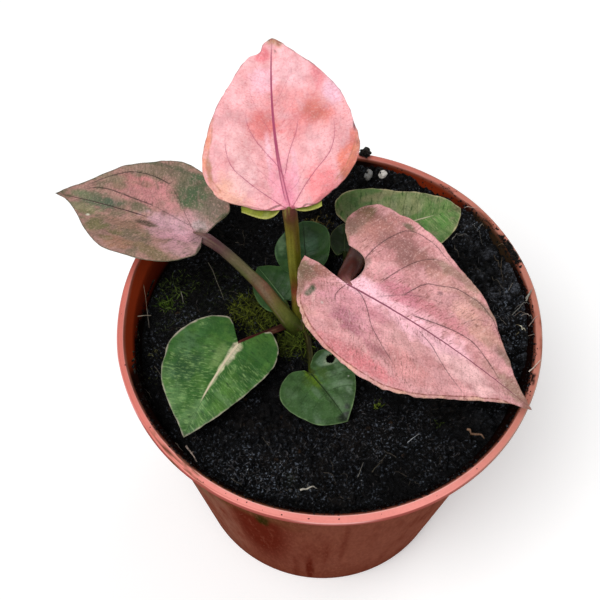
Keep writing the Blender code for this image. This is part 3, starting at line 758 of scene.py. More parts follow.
def fibre_finish():
    straw = Finish("dry_fibre", Roughness=0.75)
    grain = straw.noise(0.5 * MM, 4)
    straw.lay(straw.grade(grain, 0.3, 0.7, 0.0, 0.6), srgb(60, 44, 30))
    straw.feed("Base Color", straw.colour)
    straw.feed("Normal", straw.bump(grain, 0.05 * MM))
    return straw.material


LOOSE_FIBRES = 110
# Strands that stand out: start and end as (x, y) on the soil or (x, y, z), lift, radius, colour.
STRANDS = [
    ((-37.6, 23), (-31.5, 10), 2.6, 0.085, (150, 146, 128)),
    ((-44.6, 12.8), (-43.4, 8.6), 1.5, 0.10, (190, 186, 172)),
    ((-55.0, 12.4, 102), (-52.9, 3.1, 99), 0.6, 0.11, (130, 104, 84)),
    ((-52.9, 3.4, 99), (-51.6, -2.3, 98), 0.2, 0.10, (116, 108, 98)),
    ((-55.4, 0, 100), (-51.5, 1.2, 99), 0.3, 0.18, (156, 144, 126)),
    ((-51.8, -18.8), (-48.8, -22.5), 1.2, 0.15, (124, 118, 108)),
    ((-49.5, -12.2), (-46.6, -15.8), 0.8, 0.08, (98, 92, 80)),
    ((-28, 35), (-27, 29), 1.5, 0.06, (110, 104, 90)),
    ((-40.3, -36), (-37.4, -39.2), 0.6, 0.16, (186, 172, 158)),
    ((-24, -46), (-20, -48), 0.6, 0.06, (120, 116, 104)),
    ((38.4, 41.2), (43.5, 40.6), 1.0, 0.10, (206, 190, 178)),
    ((36.5, 32), (39.5, 31), 1.0, 0.06, (150, 148, 144)),
    ((41, 35), (44, 28), 2.0, 0.045, (132, 130, 124)),
    ((47, 25), (49.5, 16), 2.0, 0.045, (124, 108, 86)),
    ((46, 18), (50, 11), 1.5, 0.045, (116, 108, 92)),
    ((54.4, 0.4), (53.4, 1.7), 0.8, 0.22, (226, 222, 200)),
    ((54.2, 0.8), (55.2, 0.1), 0.8, 0.16, (214, 206, 180)),
    ((54.0, 1.1), (52.6, 2.3), 0.6, 0.13, (140, 128, 96)),
    ((53.6, 0.2), (52.6, -0.8), 0.6, 0.12, (120, 112, 84)),
    ((51.6, 5.2), (56.9, 9.4), 2.4, 0.15, (122, 122, 116)),
    ((52.6, 7.2), (55.2, 7.4), 1.8, 0.12, (96, 96, 92)),
    ((54.2, 4.6), (57.4, 3.6), 2.2, 0.16, (160, 150, 140)),
    ((56.4, 2.4, 103.4), (58.6, 4.6, 105.8), 0.4, 0.13, (176, 160, 150)),
    ((52.4, 5.2), (55.6, 5.6), 1.6, 0.11, (116, 100, 88)),
    ((55.7, 10.0, 104.4), (57.2, 12.6, 105.8), 0.4, 0.28, (150, 150, 138)),
    ((55.6, 10.8, 104.4), (57.6, 13.6, 106), 0.4, 0.15, (186, 180, 168)),
    ((55.7, -12.7, 104.4), (58.7, -9.8, 106.3), 0.3, 0.2, (232, 212, 196)),
    ((50, 2.2), (46.5, 5.5), 1.2, 0.07, (130, 124, 114)),
    ((54.2, -1.4, 101.6), (57.6, -1.2, 105.2), 0.8, 0.13, (150, 138, 124)),
    ((34.6, 29.0), (36.6, 31.8), 0.8, 0.09, (176, 170, 160)),
    ((36.4, 31.6), (38.8, 31.2), 0.6, 0.06, (140, 136, 128)),
    ((43.0, 34.2), (44.4, 35.6), 0.6, 0.09, (150, 146, 134)),
    ((48.9, 20.8), (49.6, 25.4), 1.2, 0.07, (112, 94, 70)),
    ((50.6, 12.6), (52.1, 14.9), 1.0, 0.09, (140, 132, 118)),
    ((48.3, 28.8), (50.4, 28.0), 0.8, 0.08, (128, 112, 86)),
    ((10, -42.9), (11.3, -39.0), 0.8, 0.08, (166, 164, 156)),
    ((13.7, -41.4), (16.2, -38.2), 0.8, 0.07, (122, 116, 98)),
    ((16.2, -38.2), (17.4, -35.6), 0.6, 0.06, (104, 98, 82)),
    ((23.3, -31.8), (26.5, -29.3), 0.6, 0.11, (186, 192, 196)),
    ((-7.5, 39.5), (-3.4, 37.4), 1.0, 0.16, (132, 116, 62)),
    ((-6.4, 37), (-5.2, 40.5), 1.0, 0.14, (146, 128, 74)),
    ((-3, 35.5), (-1.5, 39), 1.0, 0.12, (110, 96, 50)),
]


def make_strands(dice):
    """Fine roots and fibres: the ones that stand out, then a random litter of short ones."""
    heap = Heap()
    for start, end, lift, radius, colour in STRANDS:
        wisp(heap, start, end, lift, radius, srgb(*colour), dice, wander=0.14)
    for _ in range(LOOSE_FIBRES):
        bearing, reach = dice.uniform(0, math.tau), math.sqrt(dice.uniform(0.05, 1)) * 51
        x, y = reach * math.cos(bearing), reach * math.sin(bearing)
        length, way = dice.uniform(1.2, 4.5), dice.uniform(0, math.tau)
        end = np.array([x + length * math.cos(way), y + length * math.sin(way)])
        if np.hypot(*end) > SOIL_REACH:
            end *= SOIL_REACH / np.hypot(*end)
        shade = dice.uniform(0.15, 0.85) ** 2
        wisp(heap, (x, y), end, dice.uniform(0, 1.2), dice.uniform(0.035, 0.07),
             np.array(srgb(176, 166, 150)) * shade, dice, sides=4, steps=9, wander=0.4)
    return heap.piece("fibres", fibre_finish(), "twig")


# Twigs as in the solid model: node, the two ends, radius, colour.
TWIGS = [
    ("twig_right", (39.6, -27.8), (44, -30.2), 0.42, (138, 104, 80)),
    ("twig_front_left", (-37.3, -36.7), (-33.8, -41.4), 0.30, (206, 184, 170)),
    ("twig_front", (-5.2, -48.3), (-0.8, -47.2), 0.30, (206, 200, 186)),
]


def make_twigs(dice):
    finish = fibre_finish()
    for node, start, end, radius, colour in TWIGS:
        heap = Heap()
        tint = srgb(*colour)
        wisp(heap, start, end, 0.3, radius, tint, dice, sides=8, steps=10, wander=0.12)
        fork = ((start[0] + end[0]) / 2, (start[1] + end[1]) / 2)
        wisp(heap, fork, (fork[0] + 0.9, fork[1] + 0.6), 0.3, radius * 0.4, np.array(tint) * 0.6,
             dice, sides=6, steps=6, wander=0.2)
        heap.piece(node + "_bark", finish, "twig", (node,))


def bead_finish():
    stone = Finish("perlite_bead", Roughness=0.6)
    pits = stone.cells(0.7 * MM)
    dirt = stone.grade(stone.noise(1.0 * MM, 4), 0.45, 0.7)
    stone.lay(stone.product(dirt, 0.7), srgb(96, 82, 70))
    stone.feed("Base Color", stone.colour)
    stone.feed("Normal", stone.bump(pits, 0.2 * MM, 0.8))
    return stone.material


CLOD_CRUMBS = 26


def make_beads():
    """Two perlite beads, and the clod on the rim as a spiral of crumbs round a few large ones."""
    unit, faces = lump()
    stone = bead_finish()
    for seed, (node, tint) in enumerate([("perlite_bead_white", srgb(226, 222, 214)),
                                         ("perlite_bead_grey", srgb(120, 120, 118))]):
        low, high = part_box(node)
        centre, half = (low + high) / 2, (high - low) / 2
        heap = Heap()
        heap.add(lumpy(unit, np.array(centre), half.x * 1.05, 700 + seed, 0.95), faces, tint)
        heap.piece(node + "_grain", stone, "perlite", (node,))
    low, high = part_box("soil_clod_on_rim")
    centre, half = np.array((low + high) / 2), (high - low) / 2
    heap = Heap()
    for number in range(CLOD_CRUMBS):
        bearing = number * 2.4
        reach = half.x * (0.15 + 0.035 * number)
        spot = centre + (reach * math.cos(bearing), reach * math.sin(bearing), -0.4 * half.z)
        size = half.x * (0.75 if number < 4 else 0.34)
        heap.add(lumpy(unit, spot + (0, 0, 0.5 * size), size, 800 + number), faces, srgb(40, 32, 27))
    heap.piece("rim_clod", SOIL_FINISH, "soil", ("soil_clod_on_rim",))


# Specks on the front of the lip: bearing in degrees, mm in from the edge, size in mm.
LIP_SPECKS = [(-24.5, 1.5, 0.10), (-21, 1.3, 0.14), (-18.6, 1.7, 0.16), (-14.2, 1.1, 0.10),
              (-9.2, 1.2, 0.17), (-2.4, 1.3, 0.19), (5.2, 1.5, 0.16), (5.3, 1.6, 0.13), (16, 1.5, 0.10),
              (31, 1.2, 0.12), (-31, 1.0, 0.15), (-52, 1.4, 0.14), (-72, 1.7, 0.20), (-88, 1.1, 0.12),
              (44, 1.3, 0.16)]
# Numbers of the crumbs, which also seed their shapes: the specks come first, then each group up to its end.
SPECKS_END = 20
DRIFT_END = 220
LIP_END = 420
CORNER_END = 1500
LEFT_WALL_END = 2000


def make_rim_dirt(dice):
    """Soil on the pot's edge: specks in front, a drift at the right and back, crumbs in the inner corner."""
    unit, faces = lump()
    small, small_faces = lump(1)
    heap = Heap()

    def drop(angle, reach, size, number, tint, sunk=0.0):
        bearing = math.radians(angle)
        spot = (reach * math.sin(bearing), -reach * math.cos(bearing), POT_HEIGHT - sunk + 0.1 * size)
        shape, triangles = (unit, faces) if number < SPECKS_END else (small, small_faces)
        heap.add(lumpy(shape, spot, size, 900 + number, 0.6), triangles, tint)

    for number, (angle, out, size) in enumerate(LIP_SPECKS):
        drop(angle, RIM_RADIUS - out * MM, size * MM, number, srgb(92, 44, 36))
    for number in range(SPECKS_END, LIP_END):
        in_drift = number < DRIFT_END
        angle = dice.gauss(117, 2.4) if in_drift else dice.uniform(66, 150)
        inward = dice.uniform(0, 1) ** (1.0 if in_drift else 2.2)
        if not in_drift and noise(np.array([[angle, 0.0]]), 6.0, 92, 3)[0] < 0.15:
            continue
        size = dice.uniform(0.12, 0.5 if in_drift else 0.22) * MM
        tint = srgb(16, 14, 12) if number % 3 else srgb(70, 50, 38) if number % 2 else srgb(40, 34, 28)
        drop(angle, LIP_INNER_RADIUS + (LIP_WIDTH - 0.8 * MM) * inward, size, number, tint)
    for number in range(LIP_END, CORNER_END):
        angle = dice.uniform(-66, 166)
        size = dice.uniform(0.12, 0.42) * MM
        inward = dice.uniform(0, 1)
        if angle > 138 and number % 4:
            continue
        reach = RIM_RADIUS - (LIP_WIDTH + (0.1 + 2.3 * inward) * MM) * float(lip_share(angle))
        shade = dice.uniform(0.3, 1.3) if number % 7 else 3.2
        drop(angle, reach, size, number, np.array(srgb(16, 14, 14)) * shade, (0.5 + 1.4 * inward) * MM)
    for number in range(CORNER_END, LEFT_WALL_END):
        angle = dice.uniform(-106, -58)
        sunk = dice.uniform(1.0 + 7 * float(ramp(angle, -70, -34)), 9) * MM
        size = dice.uniform(0.15, 0.5) * MM
        tint = np.array(srgb(22, 20, 16)) * dice.uniform(0.3, 1.6) if number % 9 else srgb(74, 74, 52)
        reach = min(LIP_INNER_RADIUS - 0.4 * MM, inner_radius(POT_HEIGHT - sunk) + 0.6 * MM / (sunk / MM))
        drop(angle, reach, size, number, tint, sunk)
    heap.piece("rim_crumbs", SOIL_FINISH, "soil")


SHRED_TRIES = 16000


def make_slivers(dice):
    """Thin flat shreds of peat lying on the soil, thickest in the patches of painted highlight, where their
    grey-blue is also painted brighter.
    """
    draws = np.array([[dice.uniform(0, 1) for _ in range(8)] for _ in range(SHRED_TRIES)])
    bearing, reach = math.tau * draws[:, 0], np.sqrt(draws[:, 1]) * 52 * MM
    middle = np.stack([reach * np.cos(bearing), reach * np.sin(bearing), 0 * reach], 1)
    painted_light = soil_shine(middle)
    kept = draws[:, 2] < 0.06 + 0.5 * painted_light
    draws, middle, painted_light = draws[kept], middle[kept], painted_light[kept]
    way = math.pi * draws[:, 3]
    half = (0.25 + 0.5 * draws[:, 4]) * MM
    ahead = np.stack([half * np.cos(way), half * np.sin(way), 0 * half], 1)
    spots = middle[:, None] + np.array([-1.0, 0.0, 1.0])[:, None] * ahead[:, None]
    spots[:, :, 2] = soil_height(spots[:, :, 0].ravel(), spots[:, :, 1].ravel()).reshape(-1, 3)
    spots[:, :, 2] += ((0.2 * draws[:, 5] - 0.05) * MM)[:, None]
    thick = (0.06 + 0.07 * draws[:, 6]) * MM
    # Grey-blue, brightest in the patches of painted highlight: a painted highlight on the shreds.
    shade = (0.2 + 0.8 * draws[:, 7]) ** 2 * (0.3 + 0.7 * painted_light)
    heap = Heap()
    for route, radius, share in zip(spots, thick, shade):
        points, faces = tube(route, radius * np.array([0.4, 1, 0.3]), 4, 0.6)
        heap.add(points, faces, np.array(srgb(112, 116, 124)) * share)
    return heap.piece("peat_shreds", fibre_finish(), "soil")


# ---------------------------------------------------------------- moss

def moss_finish():
    fuzz = Finish("moss", Roughness=0.8, Specular_IOR_Level=0.15)
    fuzz.lay(fuzz.grade(fuzz.noise(0.7 * MM, 3), 0.4, 0.7, 0.0, 0.4), srgb(26, 32, 6))
    fuzz.feed("Base Color", fuzz.colour)
    return fuzz.material


# Tufts: centre, half width in x and y, strands, longest strand, colours at foot and tip, node.
TUFTS = [
    ((-22, 6), (8, 6.5), 620, 3.6, (14, 20, 4), (112, 122, 40), "moss_cushion_left"),
    ((-11.2, -5), (4.5, 4), 320, 3.4, (12, 18, 4), (98, 112, 38), "moss_cushion_front"),
    ((-46, 13), (5.5, 7), 200, 2.4, (12, 18, 4), (96, 116, 54), "moss_cushion_edge"),
    ((-17, -1), (7, 4), 280, 3.0, (14, 20, 4), (98, 110, 34), None),
    ((-8.4, -2.6), (4.2, 2.6), 240, 4.4, (14, 22, 4), (108, 128, 42), None),
    ((-13.5, 3.5), (4, 3), 180, 4.0, (14, 20, 4), (96, 112, 36), None),
    ((-4.5, -7.5), (3.5, 2.4), 120, 2.6, (12, 16, 4), (70, 78, 28), None),
    ((-33, 16), (9, 6), 140, 1.8, (10, 14, 4), (56, 68, 28), None),
    ((-1, 30), (4.5, 4), 160, 2.6, (10, 18, 4), (56, 82, 30), None),
    ((3, 12), (6, 6), 160, 2.6, (10, 16, 4), (58, 70, 26), None),
    ((-5, 38), (5, 3), 120, 2.0, (22, 22, 8), (120, 106, 52), None),
    ((-38, -8), (7, 6), 40, 1.4, (10, 14, 4), (40, 50, 22), None),
    ((-48.5, 8), (2.2, 2), 90, 2.6, (20, 34, 4), (84, 112, 30), None),
    ((-48.7, -7.6), (3.5, 2.6), 60, 1.2, (24, 24, 10), (124, 122, 74), None),
    ((-49.4, -15.5), (3, 3), 40, 1.2, (20, 22, 12), (92, 96, 62), None),
    ((-46, 2), (5, 5), 110, 1.6, (12, 16, 8), (64, 72, 48), None),
    ((14.8, -21.3), (1.3, 1.1), 34, 1.8, (40, 60, 12), (140, 160, 56), None),
    ((32, -26), (1.6, 1.4), 20, 1.4, (40, 56, 12), (84, 100, 40), None),
]


def make_moss(dice):
    """Cushions of curved tapering strands, dark at the foot."""
    fuzz = moss_finish()
    others = Heap()
    for centre, half, count, longest, foot, top, node in TUFTS:
        heap = Heap() if node else others
        for _ in range(count):
            bearing, reach = dice.uniform(0, math.tau), math.sqrt(dice.uniform(0, 1))
            x = (centre[0] + half[0] * reach * math.cos(bearing)) * MM
            y = (centre[1] + half[1] * reach * math.sin(bearing)) * MM
            z = soil_height(np.array([x]), np.array([y]))[0] - 0.3 * MM
            length = longest * MM * dice.uniform(0.35, 1) * (1.15 - 0.6 * reach)
            lean = np.array([dice.gauss(0, 0.55), dice.gauss(0, 0.55), 1.0])
            curl = np.array([dice.gauss(0, 0.4), dice.gauss(0, 0.4), -0.15])
            share = np.linspace(0, 1, 5)[:, None]
            route = np.array([x, y, z]) + length * (share * lean + share ** 2 * curl)
            radii = 0.12 * MM * np.array([0.8, 1.0, 0.9, 0.6, 0.05]) * dice.uniform(0.6, 1.4)
            points, faces = tube(route, radii, 4, 0.5)
            shade = dice.uniform(0.35, 1.5) ** 1.3
            tint = (np.array(srgb(*foot)) * (1 - share) + np.array(srgb(*top)) * share) * shade
            heap.add(points, faces, np.repeat(tint, 4, axis=0))
        if node:
            heap.piece(node + "_fuzz", fuzz, "moss", (node,))
    others.piece("moss_tufts", fuzz, "moss")


# ---------------------------------------------------------------- leaves

@dataclass
class Leaf:
    """A blade's shape, as in the solid model, and its colours.

    Joint, tip and face give its place in mm and the way its upper side looks. Each side's outline
    runs from the back of its lobe round to the tip. Fold is how far each half rises, in degrees,
    and arch, bow, roll_margin, notch, hole (along, across, radius) and veins are in blade lengths.
    A vein is (points, half width in mm, strength). The midrib shows within its range, and is a
    double line from the joint to double_rib. Stroke sizes the flecks that run out along the side
    veins, and streaks are their pale kind. Groove, wave, ripple, jags and quilt are depths in mm:
    of the veins, of the blade's waves, of its margin's waves and jags, and of the swelling between
    the veins. A hem is the vein that follows the margin: its distance from it in mm, where along
    the blade it runs on the left and on the right, its strength, and the colours of its line and
    of the strip outside it.
    """
    name: str
    joint: tuple
    tip: tuple
    face: tuple
    left: list
    right: list
    fold: float
    arch: float
    bow: float = 0.0
    roll_margin: float = 0.0
    notch: tuple = ()
    hole: tuple = ()
    colour: tuple = (72, 110, 62)
    pale: tuple = (120, 150, 100)
    edge: tuple = (150, 150, 110)
    edge_width: float = 0.5
    under: tuple = (110, 130, 80)
    rib: tuple = (60, 84, 40)
    rib_width: float = 0.35
    vein: tuple = (60, 84, 40)
    vein_strength: float = 0.4
    fleck: tuple = (90, 80, 50)
    flecks: float = 0.2
    grain: float = 0.4
    mottle: tuple = (60, 90, 40)
    mottling: float = 0.3
    double_rib: float = 0.0
    rib_range: tuple = (-1, 2)
    stroke: float = 1.0
    groove: float = 0.14
    wave: float = 0.35
    streak: tuple = (170, 180, 130)
    streaks: float = 0.0
    hem: float = 0.0
    hem_left: tuple = (2, 2)
    hem_right: tuple = (2, 2)
    hem_strength: float = 0.85
    hem_line: tuple = (150, 96, 76)
    hem_strip: tuple = (216, 168, 140)
    ripple: float = 0.3
    jags: float = 0.35
    quilt: float = 0.22
    columns: int = 90
    rows: int = 60
    slot: str = "leaf_green"
    veins: list = field(default_factory=list)


def side_veins(starts, reach, sweep, width=0.16, strength=0.5):
    """Paired side veins leaving the midrib at the given shares and sweeping towards the tip."""
    veins = []
    for start in starts:
        spread = reach * (1 - 0.55 * start)
        for side in (-1, 1):
            line = [(start, 0), (start + 0.25 * sweep, side * 0.45 * spread),
                    (start + 0.7 * sweep, side * 0.85 * spread), (start + 1.3 * sweep, side * spread)]
            veins.append((line, width, strength))
    return veins


# Colour patches of each blade: along, across, half length, half width, colour, strength.
PATCHES = {
    "leaf_upright": [
        (0.12, -0.34, 0.14, 0.12, (250, 190, 166), 0.85), (0.31, -0.44, 0.06, 0.02, (168, 128, 80), 0.7),
        (0.24, -0.44, 0.05, 0.02, (176, 132, 84), 0.7), (0.26, 0.38, 0.18, 0.07, (238, 132, 112), 0.9),
        (0.18, 0.34, 0.06, 0.03, (204, 116, 84), 0.7), (0.14, 0.22, 0.13, 0.1, (252, 142, 146), 0.8),
        (0.38, 0.41, 0.1, 0.03, (224, 120, 100), 0.7), (0.52, -0.13, 0.11, 0.09, (232, 132, 130), 0.85),
        (0.53, -0.07, 0.08, 0.07, (216, 116, 112), 0.6), (0.58, 0.2, 0.11, 0.11, (230, 128, 118), 0.85),
        (0.57, 0.19, 0.07, 0.08, (196, 108, 92), 0.6), (0.5, 0.11, 0.1, 0.1, (228, 130, 132), 0.6),
        (0.66, 0.04, 0.1, 0.12, (240, 150, 150), 0.6), (0.79, 0.24, 0.1, 0.06, (244, 140, 148), 0.8),
        (0.91, -0.06, 0.05, 0.05, (238, 124, 134), 0.8), (0.98, 0.01, 0.035, 0.06, (196, 142, 108), 0.9),
        (0.99, -0.02, 0.018, 0.014, (70, 66, 44), 0.8), (0.92, 0.01, 0.01, 0.01, (110, 60, 50), 0.8),
        (0.68, 0.31, 0.08, 0.06, (250, 202, 222), 0.8), (0.77, -0.08, 0.08, 0.08, (252, 196, 212), 0.7),
        (0.34, -0.085, 0.14, 0.02, (254, 206, 220), 0.6), (0.24, 0.06, 0.14, 0.02, (254, 196, 212), 0.6),
        (0.08, 0, 0.12, 0.035, (226, 126, 152), 0.85), (0.16, -0.02, 0.16, 0.1, (248, 162, 184), 0.6),
        (0.4, -0.25, 0.14, 0.1, (253, 204, 204), 0.5), (0.38, 0.2, 0.14, 0.1, (254, 196, 200), 0.5),
        (0.8, 0.1, 0.1, 0.12, (254, 200, 206), 0.7), (0.24, -0.24, 0.14, 0.1, (254, 206, 208), 0.7),
        (0.97, 0.035, 0.02, 0.02, (150, 96, 76), 0.8), (0.995, 0, 0.012, 0.04, (122, 84, 62), 0.9),
        (0.47, 0.425, 0.03, 0.012, (70, 50, 60), 0.9), (0.37, 0.435, 0.02, 0.012, (70, 50, 60), 0.8),
        (-0.005, 0, 0.02, 0.05, (128, 60, 64), 0.9)],
    "leaf_left": [
        (0.13, 0.04, 0.2, 0.1, (198, 150, 156), 0.85), (0.15, -0.07, 0.18, 0.08, (206, 150, 164), 0.95),
        (0.06, -0.16, 0.12, 0.07, (200, 148, 158), 0.8), (0.3, 0.12, 0.16, 0.09, (192, 130, 130), 0.85),
        (0.46, 0.15, 0.2, 0.08, (192, 126, 128), 0.95), (0.53, 0.19, 0.13, 0.045, (198, 126, 126), 0.9),
        (0, 0.2, 0.1, 0.13, (116, 104, 90), 0.9), (0.16, 0.25, 0.12, 0.11, (92, 94, 72), 0.95),
        (0.14, 0.2, 0.07, 0.08, (70, 92, 62), 0.9), (0.19, 0.31, 0.08, 0.035, (70, 98, 68), 0.8),
        (0.3, 0.31, 0.11, 0.06, (118, 106, 88), 0.9), (0.48, 0.29, 0.15, 0.03, (138, 116, 102), 0.8),
        (0.38, 0.33, 0.2, 0.018, (74, 84, 62), 0.7), (0.6, 0.14, 0.07, 0.03, (132, 112, 90), 0.8),
        (0.46, 0.185, 0.05, 0.025, (138, 104, 90), 0.7), (0.68, 0.18, 0.14, 0.03, (146, 128, 106), 0.8),
        (0.27, 0.05, 0.03, 0.03, (124, 92, 88), 0.7), (0.68, 0.01, 0.2, 0.055, (100, 106, 84), 1),
        (0.6, 0.02, 0.08, 0.035, (86, 98, 80), 0.9), (0.44, 0.045, 0.08, 0.03, (110, 102, 82), 0.9),
        (0.22, 0, 0.14, 0.06, (200, 156, 168), 0.7), (0.34, -0.05, 0.07, 0.026, (84, 66, 56), 0.95),
        (0.42, -0.11, 0.12, 0.05, (158, 114, 98), 0.8), (0.58, -0.165, 0.12, 0.05, (104, 104, 64), 0.85),
        (0.52, -0.1, 0.1, 0.03, (146, 112, 96), 0.7), (0.46, -0.19, 0.08, 0.03, (118, 108, 72), 0.85),
        (0.32, -0.15, 0.08, 0.03, (132, 110, 86), 0.8), (0.78, -0.06, 0.13, 0.04, (134, 134, 98), 0.8),
        (0.72, -0.1, 0.07, 0.025, (106, 112, 70), 0.7), (0.84, 0.03, 0.09, 0.035, (112, 118, 88), 0.8),
        (0.9, 0, 0.05, 0.02, (70, 86, 50), 0.7), (0.38, -0.26, 0.16, 0.05, (158, 114, 94), 0.9),
        (0.24, -0.24, 0.12, 0.035, (140, 112, 84), 0.85), (0.12, -0.27, 0.14, 0.035, (128, 108, 82), 0.9),
        (0.5, -0.25, 0.08, 0.03, (120, 104, 70), 0.8), (0.02, -0.12, 0.03, 0.05, (186, 142, 144), 0.7),
        (0.04, 0.05, 0.05, 0.03, (176, 160, 160), 0.7), (0, -0.03, 0.06, 0.05, (142, 108, 114), 0.8),
        (0.01, 0.01, 0.035, 0.03, (104, 86, 78), 0.8), (0.685, -0.115, 0.014, 0.011, (240, 238, 214), 0.95),
        (0.96, 0.02, 0.06, 0.03, (112, 104, 84), 0.85)],
    "leaf_right": [
        (0.1, 0.1, 0.2, 0.12, (228, 158, 172), 0.7), (0.34, 0.1, 0.14, 0.09, (224, 168, 166), 0.6),
        (0.13, -0.03, 0.2, 0.05, (255, 200, 214), 0.9), (0.45, 0.02, 0.26, 0.07, (252, 194, 206), 0.9),
        (0.66, 0.07, 0.18, 0.07, (248, 196, 196), 0.9), (0.34, -0.03, 0.14, 0.06, (250, 188, 200), 0.7),
        (0.24, -0.09, 0.16, 0.045, (204, 122, 138), 0.85), (0.44, -0.1, 0.16, 0.035, (206, 130, 138), 0.75),
        (0.07, 0.18, 0.07, 0.05, (180, 112, 128), 0.8), (0.13, 0.22, 0.06, 0.035, (176, 106, 122), 0.75),
        (0.27, 0.25, 0.07, 0.035, (178, 110, 120), 0.7), (0.2, 0.08, 0.06, 0.03, (196, 122, 136), 0.6),
        (0.16, 0.35, 0.2, 0.06, (222, 132, 138), 0.85), (0.3, 0.36, 0.14, 0.04, (220, 128, 134), 0.7),
        (0.42, 0.24, 0.14, 0.07, (224, 150, 148), 0.6), (-0.04, -0.32, 0.12, 0.09, (144, 100, 92), 0.95),
        (-0.11, -0.35, 0.05, 0.05, (108, 90, 62), 0.95), (-0.12, -0.27, 0.05, 0.06, (134, 106, 92), 0.9),
        (-0.04, -0.23, 0.05, 0.06, (192, 136, 130), 0.7), (0.02, -0.29, 0.08, 0.06, (178, 120, 112), 0.7),
        (0.05, -0.37, 0.08, 0.04, (182, 124, 120), 0.8), (0.14, -0.26, 0.13, 0.08, (150, 102, 98), 1),
        (0.26, -0.27, 0.09, 0.05, (160, 110, 102), 0.9), (0.07, -0.2, 0.05, 0.04, (204, 138, 140), 0.7),
        (0.16, -0.14, 0.07, 0.04, (222, 146, 158), 0.6), (0.4, -0.24, 0.14, 0.05, (204, 148, 140), 0.7),
        (0.52, -0.19, 0.14, 0.06, (212, 160, 150), 0.7), (0.63, -0.14, 0.12, 0.05, (218, 164, 148), 0.8),
        (0.4, -0.3, 0.14, 0.03, (160, 128, 112), 0.85), (0.6, -0.235, 0.16, 0.02, (156, 126, 110), 0.9),
        (0.78, -0.12, 0.12, 0.03, (142, 114, 100), 0.9), (0.74, -0.03, 0.08, 0.03, (196, 146, 138), 0.7),
        (0.87, -0.02, 0.1, 0.05, (166, 138, 120), 0.9), (0.97, 0, 0.06, 0.04, (140, 100, 84), 0.9),
        (0.08, -0.375, 0.035, 0.014, (84, 86, 58), 0.8), (-0.18, 0.04, 0.06, 0.08, (124, 106, 84), 0.95),
        (-0.16, 0.13, 0.03, 0.08, (146, 112, 96), 0.9), (-0.115, 0.13, 0.022, 0.05, (56, 84, 56), 1),
        (-0.12, -0.01, 0.05, 0.04, (150, 98, 86), 0.8), (-0.1, 0.25, 0.06, 0.03, (214, 158, 148), 0.8),
        (0.02, -0.1, 0.02, 0.06, (150, 122, 116), 0.8), (-0.04, 0.17, 0.012, 0.01, (244, 230, 220), 0.8),
        (0.37, -0.18, 0.015, 0.012, (112, 80, 84), 0.7), (0.58, -0.15, 0.012, 0.01, (120, 84, 74), 0.7)],
    "leaf_front_left": [
        (0.12, 0.005, 0.12, 0.035, (208, 198, 170), 0.95), (0.28, 0.02, 0.16, 0.022, (196, 196, 156), 0.9),
        (0.46, 0.03, 0.14, 0.012, (176, 184, 136), 0.8), (0.03, -0.01, 0.05, 0.04, (196, 186, 156), 0.8),
        (0.2, 0.1, 0.14, 0.05, (118, 146, 84), 0.7), (0.26, 0.22, 0.16, 0.1, (66, 106, 50), 0.7),
        (0.46, 0.3, 0.18, 0.12, (38, 72, 38), 0.9), (0.24, 0.4, 0.14, 0.1, (74, 110, 68), 0.8),
        (0.56, 0.42, 0.1, 0.06, (78, 112, 72), 0.7), (0.76, 0.24, 0.18, 0.1, (88, 126, 72), 0.8),
        (0.8, 0.04, 0.16, 0.07, (100, 136, 84), 0.8), (0.5, -0.12, 0.24, 0.08, (74, 116, 46), 0.8),
        (-0.05, -0.22, 0.14, 0.1, (50, 90, 38), 0.8), (0.2, -0.2, 0.16, 0.1, (42, 84, 32), 0.85),
        (0.02, 0.34, 0.12, 0.08, (60, 104, 52), 0.7), (0.97, 0.01, 0.03, 0.03, (54, 70, 44), 0.8)],
    "leaf_front_round": [
        (0.04, 0.03, 0.3, 0.07, (84, 112, 22), 0.95), (0.3, 0.24, 0.2, 0.12, (74, 112, 56), 0.7),
        (-0.04, -0.02, 0.1, 0.07, (52, 64, 14), 0.9), (0.1, 0.14, 0.14, 0.08, (66, 92, 30), 0.6),
        (0.12, -0.16, 0.16, 0.08, (62, 86, 34), 0.7), (0.4, -0.3, 0.24, 0.14, (96, 126, 88), 0.8),
        (0.62, -0.3, 0.08, 0.06, (128, 150, 124), 0.6), (-0.1, -0.34, 0.12, 0.16, (104, 128, 104), 0.85),
        (0.2, -0.42, 0.1, 0.1, (90, 118, 84), 0.7), (0.34, 0.14, 0.12, 0.05, (94, 120, 88), 0.7),
        (0.44, 0.38, 0.28, 0.16, (60, 90, 52), 0.8), (0.1, 0.5, 0.14, 0.08, (84, 112, 76), 0.7),
        (0.56, 0.02, 0.22, 0.05, (46, 70, 36), 0.8), (0.92, -0.02, 0.07, 0.15, (26, 30, 26), 0.95),
        (0.82, -0.12, 0.05, 0.05, (30, 40, 28), 0.9), (-0.01, -0.4, 0.12, 0.11, (136, 150, 124), 0.9),
        (0.43, -0.43, 0.02, 0.02, (226, 230, 218), 0.9)],
    "leaf_back_right": [
        (0.96, 0, 0.08, 0.06, (90, 80, 50), 0.7), (0.2, -0.38, 0.34, 0.05, (160, 150, 112), 0.6),
        (0.3, -0.22, 0.34, 0.12, (152, 156, 110), 0.7), (0.62, 0.1, 0.2, 0.1, (84, 132, 58), 0.8),
        (0.6, 0.28, 0.12, 0.06, (72, 112, 56), 0.6), (-0.2, -0.4, 0.1, 0.1, (74, 112, 60), 0.7),
        (-0.1, 0.1, 0.16, 0.16, (66, 92, 46), 0.6)],
    "leaf_back_round": [
        (0.45, 0.15, 0.22, 0.2, (66, 100, 74), 0.7), (0.4, 0.46, 0.3, 0.14, (40, 80, 28), 0.7),
        (0.55, -0.55, 0.3, 0.14, (92, 120, 84), 0.8), (0.7, 0.1, 0.14, 0.2, (26, 50, 20), 0.6)],
}


